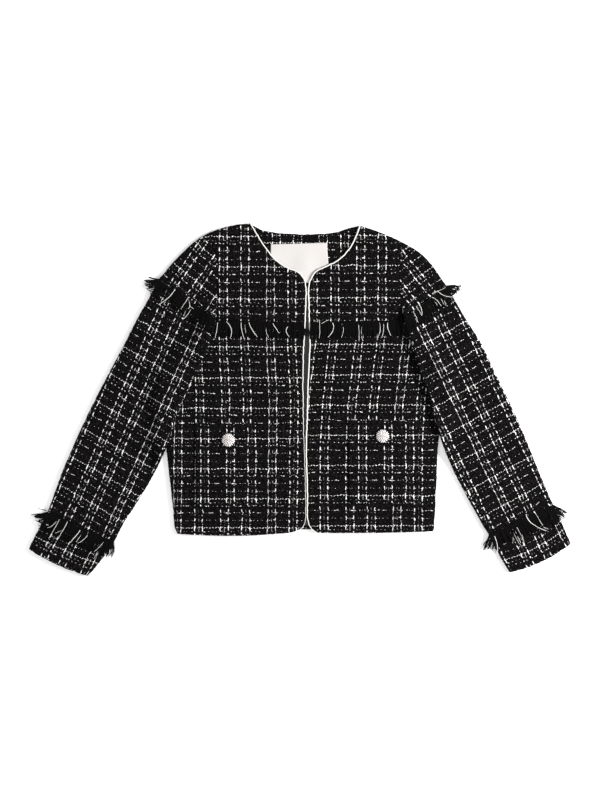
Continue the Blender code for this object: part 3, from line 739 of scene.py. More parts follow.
def roll(distance):
    """How far the cloth has come down at a distance from a turned edge."""
    if distance >= ROLL_WIDTH:
        return 0.0
    return (FRONT_TOP - SIDE_TOP) * (1.0 - math.sqrt(1.0 - (1.0 - distance / ROLL_WIDTH) ** 2))


def body_columns(count):
    """Columns across a panel, closer together where its outer edge turns down."""
    return np.append(np.linspace(0.0, 0.955, count), [0.965, 0.975, 0.985, 0.993, 1.0])


front_face, yoke_face, front_cloth, yoke_cloth = {}, {}, {}, {}
for side in SIDES:
    lines = [across(section, body_columns(52)) for section in FRONTS[side]]
    grid = raised(fill(lines, FINE), body_top)
    for line in grid:
        for point in line:
            point[2] -= roll(math.dist(point[:2], line[-1, :2]))
    front_face[side] = grid
    grain = lay_grain(grid, upright(*FRONT_CHECKS[side]))
    piece = cloth("front_" + side, grid, grain, TWEED, tweed)
    front_cloth[side] = piece

    lines = [across(section, np.linspace(0.0, 1.0, 40)) for section in YOKES[side]]
    grid = raised(fill(lines, FINE), body_top)
    for line in grid:
        for point, shoulder in zip(line, grid[-1]):
            point[2] -= roll(math.dist(point[:2], shoulder[:2]))
    yoke_face[side] = grid
    grain = lay_grain(grid, upright(*YOKE_CHECKS[side]))
    piece = cloth("yoke_" + side, grid, grain, TWEED, tweed)
    yoke_cloth[side] = piece

# ------------------------------------------------------------
# Patch pockets. One tweed square on each front, turned in round its edge and topstitched. The top
# is a band of the same cloth.
# ------------------------------------------------------------
FACE_GAP = 0.5
POCKET_CLOTH = 1.8
POCKETS = table_of(
    Section,
    right=[
        (-66.5, -189.0, -182.0, -187.5),
        (-66.5, -117.0, -182.5, -115.0),
        (-66.5, -45.0, -182.5, -42.0),
    ],
    left=[
        (86.0, -180.5, 204.0, -181.0),
        (85.5, -108.5, 204.5, -109.5),
        (85.0, -36.5, 205.0, -37.5),
    ],
)
POCKET_CHECKS = {
    "right": ([(0.0, -128.1)], [-173.6, -121.3, -68.6]),
    "left": ([(0.0, 147.7)], [-168.0, -115.3, -62.8]),
}
for side in SIDES:
    lines = fill([across(section, np.linspace(0.0, 1.0, 30)) for section in POCKETS[side]], FINE)
    grid = raised(lines, lambda x, y: body_top(x, y) + FACE_GAP + POCKET_CLOTH)
    grain = lay_grain(grid, upright(*POCKET_CHECKS[side]))
    piece = cloth("pocket_" + side, grid, grain, POCKET_CLOTH, tweed)

# ------------------------------------------------------------
# Piping. A white satin bias strip over a cord edges each side, from the shoulder seam round the
# neck and down the front, and ends in the hem's curve.
# ------------------------------------------------------------
PIPING_RADIUS = 1.12
PIPING_RISE = 0.3
PIPING_STEP = 1.5
# How full the piping shows at some heights (y). Down the front, the right one turns under the left
# one, and both thin out at the hem.
PIPING_SHOWS = {
    "right": [(-235.0, 0.5), (-200.0, 0.36), (-70.0, 0.36), (-40.0, 0.5)]
    + [(10.0, 0.7), (60.0, 0.76), (110.0, 0.95)],
    "left": [(-235.0, 0.5), (-205.0, 0.8), (-170.0, 0.95), (-140.0, 1.0)],
}

# Polyester satin piping: bright, with the fine slanting ribs of a bias cut
finish = {"Roughness": 0.45, "Specular IOR Level": 0.4}
ribs = (500.0, 90.0, 200.0)
weave = {"stretch": ribs, "turn": 0.8, "bump": (0.3, 0.2)}
piping_satin = simple_material("polyester_satin_piping", ("DDDBD6", "EDEBE7"), 1.0, 1.0, finish, **weave)


def as_mesh(source):
    """Turn an object that a curve or nodes make into a plain mesh of the same name."""
    name = source.name
    data = bpy.data.meshes.new_from_object(source.evaluated_get(bpy.context.evaluated_depsgraph_get()))
    bpy.data.objects.remove(source)
    data.name = name
    return placed(name, data)


def cord(name, points, radii, material, slot, node=None):
    """A round cord through some places, with its radius at each."""
    path = bpy.data.curves.new(name, "CURVE")
    path.dimensions = "3D"
    path.bevel_depth = MM
    path.bevel_resolution = 3
    path.use_fill_caps = True
    path.materials.append(material)
    spline = path.splines.new("POLY")
    spline.points.add(len(points) - 1)
    for point, (x, y, z), radius in zip(spline.points, points, radii):
        point.radius = radius
        point.co = (*(Vector((*shaken(x, y), z)) * MM), 1.0)
    piece = as_mesh(placed(name, path))
    piece.data.shade_smooth()
    return belongs(piece, slot, node)


piping_piece = {}
for side in SIDES:
    edge = np.concatenate([face[::-1, 0] for face in (yoke_face[side], front_face[side])])
    keep = np.linalg.norm(np.diff(edge, axis=0), axis=1) > PIPING_STEP
    edge = edge[np.append(keep, True)]
    ways = np.gradient(edge[:, :2], axis=0)
    ways /= np.linalg.norm(ways, axis=1)[:, None]
    outward = 1.0 if side == "right" else -1.0
    reach = PIPING_RADIUS + SEAM_GAP
    points = edge.copy()
    points[:, 0] -= outward * ways[:, 1] * reach
    points[:, 1] += outward * ways[:, 0] * reach
    points[:, 2] += PIPING_RISE - TWEED / 2.0
    shows = np.interp(points[:, 1], *zip(*PIPING_SHOWS[side]))
    radii = PIPING_RADIUS * shows
    names = ("white_piping", "piping_" + side)
    piping_piece[side] = cord("satin_piping_" + side, points, radii, piping_satin, *names)

# ------------------------------------------------------------
# Sleeves. Each is three flattened tubes of tweed: a cap from the armhole to the frayed line across
# the upper arm, the sleeve down to the frayed line above the wrist, and a plain cuff. The sleeves
# lie with their inner folds over the sides of the body.
# ------------------------------------------------------------
SLEEVE_HEIGHT = 7.4
SLEEVE_CLEAR = 0.7
SLEEVE_REST = 8.0
SLEEVE_SLOPE = 26.0
ARMHOLE_GAP = 0.6

# What shows of each tube's cut, all round
CAP_CUTS = {"right": Cut(0.26, 0.106, 0.0174), "left": Cut(0.2, 0.107, 0.013)}
SLEEVE_CUTS = {"right": Cut(0.3, 0.45, 0.123), "left": Cut(0.28, 0.43, 0.105)}
CUFF_CUTS = {"right": Cut(0.255, 0.075, 0.019), "left": Cut(0.25, 0.081, 0.02)}

CAPS = table_of(
    Section,
    right=[
        (-145.2, 161.5, -193.5, 268.0, -9.0),
        (-145.5, 154.5, -210.6, 251.4, -7.0),
        (-145.5, 140.5, -246.5, 210.5),
    ],
    left=[
        (179.9, 154.5, 215.2, 252.2, -3.0),
        (180.9, 141.0, 256.0, 199.5),
    ],
)
SLEEVES = table_of(
    Section,
    right=[
        (-146.2, 138.9, -247.4, 208.9),
        (-153.0, 112.5, -263.0, 179.0),
        (-166.0, 77.5, -283.0, 143.5),
        (-188.0, 28.5, -312.0, 87.0),
        (-210.5, -15.0, -340.5, 33.5),
        (-230.0, -76.5, -366.0, -16.5),
        (-256.2, -132.5, -395.0, -78.5),
        (-290.1, -189.0, -419.0, -136.0),
        (-308.0, -216.5, -430.5, -167.5),
        (-324.4, -248.7, -441.0, -197.0),
    ],
    left=[
        (181.3, 139.5, 256.8, 198.0),
        (188.0, 122.0, 272.5, 171.5),
        (195.0, 93.5, 290.5, 140.5),
        (208.5, 51.5, 317.0, 98.5),
        (225.0, 6.0, 336.8, 56.8),
        (240.8, -54.5, 365.6, -2.8),
        (267.1, -121.6, 394.3, -66.8),
        (294.0, -173.3, 418.0, -126.1),
        (312.0, -206.2, 431.3, -157.0),
        (329.0, -234.9, 443.0, -184.0),
    ],
)
CUFFS = table_of(
    Section,
    right=[
        (-324.6, -249.1, -441.2, -197.4),
        (-346.8, -280.4, -458.2, -229.5, 1.0),
        (-370.1, -308.9, -474.3, -261.3, 4.5),
    ],
    left=[
        (329.2, -235.3, 443.2, -184.4),
        (345.6, -267.4, 458.2, -216.2, 2.0),
        (367.0, -302.5, 474.0, -252.0, 7.0),
    ],
)
SLEEVE_FOLDS = [
    Fold(-205.0, 95.0, 60.0, 13.0, 35.0, 0.8),
    Fold(-238.0, 20.0, 50.0, 12.0, 20.0, -0.7),
    Fold(-275.0, -20.0, 60.0, 14.0, 32.0, 0.7),
    Fold(-335.0, -110.0, 60.0, 14.0, 15.0, -0.6),
    Fold(-370.0, -165.0, 50.0, 12.0, 30.0, 0.6),
    Fold(230.0, 100.0, 55.0, 13.0, 140.0, 0.8),
    Fold(262.0, 20.0, 50.0, 12.0, 160.0, -0.7),
    Fold(310.0, -35.0, 60.0, 14.0, 148.0, 0.7),
    Fold(350.0, -110.0, 60.0, 14.0, 165.0, -0.6),
    Fold(385.0, -160.0, 50.0, 12.0, 150.0, 0.6),
]
LINE_COLUMNS = np.linspace(0.0, 1.0, 13)
RING_SHARES = np.linspace(0.0, 1.0, 32)
FOLD_ANGLES = (68.0, 45.0, 22.0, 0.0, -22.0, -45.0, -68.0)

# Grain of a slanting tube: a crossing of the check's first warp yarn and its triple's top, then the
# way to the next crossing down the sleeve and the way to the next one across it. The bow moves the
# middle of its rows towards the cuff.
Slant = namedtuple("Slant", "x y down_x down_y over_x over_y bow")
CAP_CHECKS = {
    "right": Slant(-209.0, 228.9, -30.1, -43.1, 61.4, -49.2, 0.0),
    "left": Slant(174.0, 189.2, 32.7, -41.0, 63.0, 47.3, 0.0),
}
SLEEVE_CHECKS = {
    "right": Slant(-283.5, 78.6, -21.9, -48.7, 64.7, -37.4, 0.0),
    "left": Slant(330.0, 39.2, 22.4, -47.3, 67.0, 36.9, 0.0),
}
CUFF_CHECKS = {
    "right": Slant(-440.3, -248.7, -23.9, -47.7, 68.4, -30.8, 2.0),
    "left": Slant(384.5, -266.5, 23.4, -47.5, 68.0, 34.6, 6.0),
}
BOW_MIDDLE = 0.35
BOW_HALF = 0.75


def slanting(check):
    """Grain of a sleeve whose warp runs down it."""
    basis = np.linalg.inv(np.array([[check.over_x, check.down_x], [check.over_y, check.down_y]]))

    def at(x, y):
        over, down = basis @ np.array([x - check.x, y - check.y])
        bowed = check.bow * (1.0 - ((over - BOW_MIDDLE) / BOW_HALF) ** 2)
        return (over * CHECK_WIDTH, bowed - down * CHECK_LENGTH)

    return at


def along(line, shares):
    """Points at the given shares of a line's length."""
    lengths = np.concatenate(([0.0], np.cumsum(np.linalg.norm(np.diff(line, axis=0), axis=1))))
    places = np.array(shares) * lengths[-1]
    return np.column_stack([np.interp(places, lengths, line[:, axis]) for axis in range(line.shape[1])])


def ease(share):
    """A smooth step from 0 to 1."""
    share = min(max(share, 0.0), 1.0)
    return share * share * (3.0 - 2.0 * share)


def beyond(x, y, outline):
    """Distance of a place outside a closed outline, or 0 inside it."""
    nearest = math.inf
    inside = False
    for (ax, ay), (bx, by) in zip(outline, outline[1:] + outline[:1]):
        run_x, run_y = bx - ax, by - ay
        share = ((x - ax) * run_x + (y - ay) * run_y) / (run_x * run_x + run_y * run_y)
        share = min(max(share, 0.0), 1.0)
        nearest = min(nearest, math.hypot(x - ax - share * run_x, y - ay - share * run_y))
        if (ay > y) != (by > y) and x < ax + run_x * (y - ay) / run_y:
            inside = not inside
    return 0.0 if inside else nearest


OUTLINES = {}
for side in SIDES:
    top, bottom = FRONTS[side][-1], FRONTS[side][0]
    OUTLINES[side] = [(section.x_out, section.y_out) for section in FRONTS[side]]
    OUTLINES[side] += [(top.x_in, top.y_in), (bottom.x_in, bottom.y_in)]


def sleeve_floor(x, y):
    """Height of a sleeve's underside: on the table, or over the side of the body."""
    distance = beyond(x, y, OUTLINES["right" if x < 0.0 else "left"])
    return (FRONT_TOP + SLEEVE_CLEAR) * ease(1.0 - (distance - SLEEVE_REST) / SLEEVE_SLOPE)


def sleeve_top(x, y):
    """Height of a sleeve's upper face."""
    return sleeve_floor(x, y) + SLEEVE_HEIGHT + folds_at(x, y, SLEEVE_FOLDS) + ripple(x, y)


def ring(line, grain):
    """One closed section of a flattened sleeve, with its grain: two faces and two rounded folds."""
    radius = SLEEVE_HEIGHT / 2.0
    length = np.sum(np.linalg.norm(np.diff(line, axis=0), axis=1))
    flat = along(line, (radius + RING_SHARES * (length - 2.0 * radius)) / length)
    ends = {"out": (flat[-1], flat[-1] - flat[-2]), "in": (flat[0], flat[0] - flat[1])}
    turns = {}
    for end, (spot, way) in ends.items():
        way = way / np.linalg.norm(way)
        floor = sleeve_floor(*spot)
        turns[end] = []
        for angle in FOLD_ANGLES:
            reach = spot + way * radius * math.cos(math.radians(angle))
            turns[end].append((*reach, floor + radius + radius * math.sin(math.radians(angle))))
    top = [(x, y, sleeve_top(x, y)) for x, y in flat]
    bottom = [(x, y, sleeve_floor(x, y)) for x, y in flat[::-1]]
    points = np.array(top + turns["out"] + bottom + turns["in"][::-1] + top[:1])
    # The cloth goes on round the folds, so its grain is followed round the ring from the upper face
    start = np.array(grain(*flat[0]))
    steps = np.linalg.norm(np.diff(points, axis=0), axis=1)
    around = np.concatenate(([0.0], np.cumsum(steps)))
    way = 1.0 if grain(*flat[-1])[0] > start[0] else -1.0
    scale = abs(grain(*flat[-1])[0] - start[0]) / around[len(flat) - 1]
    over = start[0] + way * around * scale
    down = np.array([grain(x, y)[1] for x, y, _ in points])
    for index, (x, y) in enumerate(flat):
        over[index] = grain(x, y)[0]
    return points, np.column_stack((over, down))


def tube(node, lines, check):
    """A flattened cloth tube through the given lines, open at both ends."""
    rings = [ring(line, slanting(check)) for line in fill(lines, FINE)]
    grid = np.array([points for points, _ in rings])
    return cloth(node, grid, np.array([grain for _, grain in rings]), TWEED, tweed, closed=True)


def armhole_line(side):
    """The armhole seam on the sleeve's side, from its lower end up to the shoulder."""
    edge = np.array([(section.x_out, section.y_out) for section in YOKES[side][1:]])
    edge[:, 0] += -ARMHOLE_GAP if side == "right" else ARMHOLE_GAP
    return along(edge, LINE_COLUMNS)


sleeve_cloth = {}
for side in SIDES:
    tubes = {
        "sleeve_cap": (CAPS, CAP_CHECKS, CAP_CUTS, [back]),
        "sleeve": (SLEEVES, SLEEVE_CHECKS, SLEEVE_CUTS, [front_cloth[side], "white_table"]),
        "cuff": (CUFFS, CUFF_CHECKS, CUFF_CUTS, ["white_table"]),
    }
    for part, (sections, checks, cuts, under) in tubes.items():
        lines = [armhole_line(side)] if part == "sleeve_cap" else []
        lines += [across(section, LINE_COLUMNS) for section in sections[side]]
        piece = tube(part + "_" + side, lines, checks[side])
        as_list(under)
        sleeve_cloth[part, side] = piece

# ------------------------------------------------------------
# Armhole seams. A row of black overlock thread closes each armhole between the yoke and the cap.
# ------------------------------------------------------------
SEAM_THREAD = 0.75
SEAM_HEIGHT = 3.4

# Spun polyester sewing thread: black and matt, with a fine twist
finish = {"Roughness": 0.85, "Specular IOR Level": 0.1}
sewing_thread = simple_material("black_polyester_thread", ("050505", "0E0D0E"), 900.0, 1.0, finish)

for side in SIDES:
    cap_edge = along(armhole_line(side), np.linspace(0.0, 1.0, 200))
    points = []
    for spot in yoke_face[side][3:, -1]:
        nearest = cap_edge[np.argmin(np.linalg.norm(cap_edge - spot[:2], axis=1))]
        points.append((*(spot[:2] + nearest) / 2.0, SEAM_HEIGHT))
    cord("armhole_thread_" + side, points, [SEAM_THREAD] * len(points), sewing_thread, "frayed_yarn")

# ------------------------------------------------------------
# Frayed edges. The lower edge of each yoke and cap, and the end of each sleeve, is left raw: its
# weft is drawn out, so the black warp yarns hang free, with the white ones between them.
# ------------------------------------------------------------
CHEST_REACH = 29.0
ARM_REACH = 27.0
CUFF_REACH = 31.5
BED_START = -4.0
BED_END = 40.0
BED_SIDE = 34.0
BED_STEP = 2.5
BED_RISE = 0.2
TUFT_REST = 3.5
ABOVE_ALL = 100.0
# A yarn's lean grows with this power of the way along it
LEAN_POWER = 1.6
# Spacing and lowest and highest lift of the two layers of black yarns
YARN_LAYERS = [(1.9, 0.0, 0.3), (2.3, 0.5, 1.2)]
# The black yarns' tips gather in clumps, which are so wide and follow after such a gap
CLUMP_WIDTH = 3.2
CLUMP_GAP = (1.5, 4.0)
TUFT_LIFT = 1.6
YARN_STEPS = 9
CRINKLE = 4.0
# Single fibres for each millimetre of an edge, and their radius
FIBRES = 1.6
FIBRE_RADIUS = 0.16

# Loose wool warp yarns: matt and black, with a soft sheen of their fibres
loose_black, tree, shader = start_material("loose_black_wool_yarn")
place = add(tree, "ShaderNodeTexCoord", out="Object")
fibre = noise_in(tree, place, 700.0, 1.0)
tone = mixed(tree, noise_in(tree, place, 45.0, 1.0), "040504", "070506")
tone = mixed(tree, fibre, tone, "0E0C0D")
finish = {"Roughness": 0.9, "Specular IOR Level": 0.06, "Sheen Weight": 0.01}
set_inputs(tree, shader, {"Base Color": tone, "Normal": relief(tree, fibre, 0.5, 0.4), **finish})

# Loose white slub yarns: a soft cotton blend, a little uneven in tone
finish = {"Roughness": 0.9, "Specular IOR Level": 0.15}
loose_white = simple_material("loose_white_slub_yarn", ("C8C7C3", "F4F3F0"), 400.0, 1.0, finish)


def start_tree(name, inputs):
    """A node tree for geometry with named inputs, and its group input node."""
    tree = bpy.data.node_groups.new(name, "GeometryNodeTree")
    tree.interface.new_socket("Geometry", in_out="OUTPUT", socket_type="NodeSocketGeometry")
    tree.interface.new_socket("Geometry", in_out="INPUT", socket_type="NodeSocketGeometry")
    for label, kind in inputs.items():
        tree.interface.new_socket(label, in_out="INPUT", socket_type="NodeSocket" + kind)
    return tree, add(tree, "NodeGroupInput", out=None).outputs


def grow(name, data, tree, values):
    """Run a node tree on a mesh of points, and give the result as a plain mesh."""
    source = placed(name, data)
    modifier = source.modifiers.new("grown", "NODES")
    modifier.node_group = tree
    for item in tree.interface.items_tree:
        if item.item_type == "SOCKET" and item.in_out == "INPUT" and item.name in values:
            modifier[item.identifier] = values[item.name]
    bpy.context.view_layer.update()
    return as_mesh(source)


# Each root becomes one yarn that lies on a bed, a smooth sheet that follows the cloth below. A
# root says where it starts, how far it reaches, and how it bends to the side.
bed_inputs = {"Bed": "Object", "Bed width": "Float", "Bed length": "Float"}
yarn_inputs = {"Steps": "Int", "Crinkle": "Float", "Black yarn": "Material", "White yarn": "Material"}
yarn_tree, given = start_tree("loose_yarns", {**bed_inputs, **yarn_inputs})


def geo(kind, inputs=None, settings=None, out=0):
    """One step on the loose yarns."""
    return add(yarn_tree, "GeometryNode" + kind, settings, inputs, out)


def geo_calc(operation, *values):
    """One calculation on the loose yarns."""
    return add(yarn_tree, "ShaderNodeMath", {"operation": operation}, dict(enumerate(values)))


def said(name, kind="FLOAT"):
    """What a root says."""
    return geo("InputNamedAttribute", {"Name": name}, {"data_type": kind})


roots = geo("MeshToPoints", {"Mesh": given["Geometry"]})
line = geo("CurvePrimitiveLine", {"End": (0.0, 0.0, 0.01)})
line = geo("ResampleCurve", {"Curve": line, "Count": given["Steps"]})
yarns = geo("RealizeInstances", {"Geometry": geo("InstanceOnPoints", {"Points": roots, "Instance": line})})
share = geo("SplineParameter", out="Factor")
twist = said("twist")
seen = {"X": geo_calc("MULTIPLY", share, 3.0), "Y": twist, "Z": geo_calc("MULTIPLY", twist, 0.37)}
wave = noise_in(yarn_tree, add(yarn_tree, "ShaderNodeCombineXYZ", None, seen), 1.0, 1.0, "Color")
wave = add(yarn_tree, "ShaderNodeVectorMath", {"operation": "SUBTRACT"}, {0: wave, 1: (0.5, 0.5, 0.5)})
wave = add(yarn_tree, "ShaderNodeSeparateXYZ", None, {0: wave}, None).outputs
bow = geo_calc("MULTIPLY", geo_calc("MULTIPLY", share, 4.0), geo_calc("SUBTRACT", 1.0, share))
sideways = geo_calc("MULTIPLY", said("lean"), geo_calc("POWER", share, LEAN_POWER))
sideways = geo_calc("MULTIPLY_ADD", said("sway"), bow, sideways)
sideways = geo_calc("MULTIPLY_ADD", geo_calc("MULTIPLY", wave["X"], given["Crinkle"]), share, sideways)
over = geo_calc("DIVIDE", geo_calc("ADD", said("place"), sideways), given["Bed width"])
down = geo_calc("DIVIDE", geo_calc("MULTIPLY_ADD", said("reach"), share, said("start")), given["Bed length"])
over, down = (geo_calc("MINIMUM", geo_calc("MAXIMUM", value, 0.001), 0.999) for value in (over, down))
spot = add(yarn_tree, "ShaderNodeCombineXYZ", None, {"X": over, "Y": down})
sample = {
    "Mesh": geo("ObjectInfo", {"Object": given["Bed"]}, out="Geometry"),
    "Value": geo("InputPosition"),
    "UV Map": said("bed", "FLOAT_VECTOR"),
    "Sample UV": spot,
}
laid = geo("SampleUVSurface", sample, {"data_type": "FLOAT_VECTOR"}, "Value")
rise = geo_calc("MULTIPLY", said("lift"), geo_calc("ADD", 0.35, geo_calc("MULTIPLY", share, 0.65)))
rise = geo_calc("MULTIPLY_ADD", geo_calc("ABSOLUTE", wave["Z"]), said("lift"), rise)
rise = add(yarn_tree, "ShaderNodeCombineXYZ", None, {"Z": geo_calc("ADD", rise, said("thick"))})
yarns = geo("SetPosition", {"Geometry": yarns, "Position": laid, "Offset": rise})
thin = geo_calc("MULTIPLY", said("thick"), geo_calc("SUBTRACT", 1.0, geo_calc("MULTIPLY", share, 0.35)))
thin = geo_calc("MULTIPLY", thin, geo_calc("ADD", 1.0, wave["Y"]))
outline = geo("CurvePrimitiveCircle", {"Resolution": 4, "Radius": 1.0}, out="Curve")
told = {"Geometry": yarns, "Name": "is_white", "Value": geo_calc("GREATER_THAN", said("white"), 0.5)}
kept = geo("StoreNamedAttribute", told, {"data_type": "FLOAT", "domain": "POINT"})
body = geo("CurveToMesh", {"Curve": kept, "Profile Curve": outline, "Scale": thin, "Fill Caps": True})
body = geo("RealizeInstances", {"Geometry": body})
body = geo("SetMaterial", {"Geometry": body, "Material": given["Black yarn"]})
chosen = geo_calc("GREATER_THAN", said("is_white"), 0.5)
body = geo("SetMaterial", {"Geometry": body, "Selection": chosen, "Material": given["White yarn"]})
add(yarn_tree, "NodeGroupOutput", None, {0: body}, None)


def heights_over(pieces, elsewhere):
    """The height of the highest of some pieces at a place, or of something else where none of them is."""
    bpy.context.view_layer.update()
    scene = bpy.context.evaluated_depsgraph_get()
    trees = [BVHTree.FromObject(piece, scene) for piece in pieces]
    down = Vector((0.0, 0.0, -1.0))

    def height(x, y):
        hits = [tree.ray_cast(Vector((x, y, ABOVE_ALL)) * MM, down)[0] for tree in trees]
        tops = [hit.z / MM for hit in hits if hit]
        return max(tops) if tops else elsewhere(x, y)

    return height


def extended(line, distance):
    """The place at a distance along a line, which goes straight on past its ends."""
    steps = np.linalg.norm(np.diff(line, axis=0), axis=1)
    length = np.sum(steps)
    if distance < 0.0:
        return line[0] + (line[0] - line[1]) / steps[0] * -distance
    if distance > length:
        return line[-1] + (line[-1] - line[-2]) / steps[-1] * (distance - length)
    return along(line, [distance / length])[0]


def way_at(ways, length, span):
    """The direction that the yarns take at a distance along an edge."""
    way = np.array([np.interp(span, np.linspace(0.0, length, len(ways)), ways[:, k]) for k in (0, 1)])
    return way / np.linalg.norm(way)


def yarn_bed(line, ways, surface):
    """The sheet that the loose yarns of one edge lie on, and its width."""
    length = np.sum(np.linalg.norm(np.diff(line, axis=0), axis=1))
    spans = np.arange(-BED_SIDE, length + BED_SIDE + BED_STEP, BED_STEP)
    depths = np.arange(BED_START, BED_END + BED_STEP, BED_STEP)
    plan = np.zeros((len(depths), len(spans), 3))
    for j, span in enumerate(spans):
        root = extended(line, span)
        way = way_at(ways, length, span)
        for i, depth in enumerate(depths):
            plan[i, j, :2] = root + way * depth
            plan[i, j, 2] = surface(*plan[i, j, :2])
    for _ in range(2):
        high = np.pad(plan[:, :, 2], 1, mode="edge")
        windows = [high[i : i + plan.shape[0], j : j + plan.shape[1]] for i in range(3) for j in range(3)]
        smooth = np.max(windows, axis=0) * 0.6 + np.mean(windows, axis=0) * 0.4
        plan[:, :, 2] = np.maximum(smooth, plan[:, :, 2])
    plan[:, :, 2] += BED_RISE
    rows, columns = plan.shape[:2]
    faces = [[i * columns + j for i, j in cell] for cell in cells(rows, columns)]
    loops = [(j / (columns - 1), i / (rows - 1)) for cell in cells(rows, columns) for i, j in cell]
    data = bpy.data.meshes.new("yarn_bed")
    data.from_pydata([tuple(v) for v in plan.reshape(-1, 3) * MM], [], faces)
    data.uv_layers.new(name="bed").data.foreach_set("uv", np.array(loops).ravel())
    return placed("yarn_bed", data), length, (columns - 1) * BED_STEP, (rows - 1) * BED_STEP


ROOT_WORDS = ("place", "start", "reach", "lean", "sway", "lift", "thick", "twist", "white")

# A strand in plan: its root, the middle and the tip. The last number is a white yarn's radius,
# or how many yarns a tuft's clump has.
Trace = namedtuple("Trace", "x0 y0 x1 y1 x2 y2 amount")


def traced(line, ways, trace):
    """Place, start, reach, lean and sway of the yarn that follows a trace."""
    length = np.sum(np.linalg.norm(np.diff(line, axis=0), axis=1))
    found = []
    for spot in (trace[0:2], trace[2:4], trace[4:6]):
        span, depth = 0.5 * length, 0.0
        for _ in range(30):
            root = extended(line, span)
            way = way_at(ways, length, span)
            along_line = extended(line, span + 1.0) - root
            move = np.linalg.solve(np.column_stack((along_line, way)), np.array(spot) - root)
            span = min(max(span + 0.6 * move[0], 1.0 - BED_SIDE), length + BED_SIDE - 1.0)
            depth = move[1]
        found.append((span, depth))
    (place, start), (middle, _), (tip, end) = found
    lean = tip - place
    return place, start, end - start, lean, middle - place - lean * 0.5**LEAN_POWER


def fray(name, line, ways, surface, reach, seed, margins):
    """Grow the loose yarns of one raw edge, which start inside the margins of its two ends."""
    draw = random.Random(seed)
    bed, length, width, depth = yarn_bed(line, ways, surface)
    rows = []

    def root(place, back, far, lean, sway, lift, thick, white=0.0):
        twist = draw.uniform(0.0, 900.0) / MM
        rows.append((place + BED_SIDE, back - BED_START, far, lean, sway, lift, thick, twist, white))

    # Black yarns in two layers
    for step, low, high in YARN_LAYERS:
        place = margins[0]
        clump, gathers = place, 0.6
        while place < length - margins[1]:
            if place > clump + CLUMP_WIDTH:
                clump = place + draw.uniform(*CLUMP_GAP)
                gathers = draw.uniform(0.2, 0.8)
            far = reach * draw.uniform(0.86, 1.0) * (0.97 + 0.06 * gathers)
            lean = (clump - place) * gathers + 2.4 * noise.noise(Vector((place / 9.0, seed, low)))
            sway = draw.uniform(-0.7, 0.7)
            lean += draw.uniform(-0.5, 0.5)
            back = draw.uniform(-1.2, 0.6)
            root(place, back, far - back, lean, sway, draw.uniform(low, high), draw.uniform(0.75, 1.1))
            place += step * draw.uniform(0.75, 1.25)
    # Single fibres stand out between the yarns
    for _ in range(int(length * FIBRES)):
        place = draw.uniform(margins[0], length - margins[1])
        far = reach * draw.uniform(0.3, 1.08)
        lean, sway, lift = draw.gauss(0.0, 3.0), draw.gauss(0.0, 1.6), draw.uniform(0.5, 2.2)
        root(place, 0.0, far, lean, sway, lift, FIBRE_RADIUS)
    for trace in WHITE_YARNS[name]:
        place, start, far, lean, sway = traced(line, ways, trace)
        root(place, start, far, lean, sway, draw.uniform(2.2, 2.8), trace.amount, 1.0)
    for trace in TUFTS[name]:
        place, start, far, lean, sway = traced(line, ways, trace)
        for _ in range(trace.amount):
            bend = sway + draw.uniform(-1.2, 1.2)
            thick = draw.uniform(0.35, 0.75)
            start_here = start + draw.uniform(-1.2, 0.6)
            turn = lean + draw.uniform(-1.8, 1.8)
            here, length_here = place + draw.uniform(-1.2, 1.2), far * draw.uniform(0.8, 1.05)
            root(here, start_here, length_here, turn, bend, TUFT_LIFT, thick)
    data = bpy.data.meshes.new("loose_yarns_" + name)
    data.from_pydata([(0.0, 0.0, 0.0)] * len(rows), [], [])
    for index, word in enumerate(ROOT_WORDS):
        scale = 1.0 if word == "white" else MM
        values = [row[index] * scale for row in rows]
        data.attributes.new(word, "FLOAT", "POINT").data.foreach_set("value", values)
    values = {"Bed": bed, "Bed width": width * MM, "Bed length": depth * MM, "Steps": YARN_STEPS}
    values |= {"Crinkle": CRINKLE * MM, "Black yarn": loose_black, "White yarn": loose_white}
    piece = grow("loose_yarns_" + name, data, yarn_tree, values)
    bpy.data.objects.remove(bed)
    belongs(piece, "frayed_yarn", "fringe_" + name)


def tuft_height(x, y):
    """Height under the yarns that hang over a sleeve's folded edge."""
    return sleeve_floor(x, y) + TUFT_REST


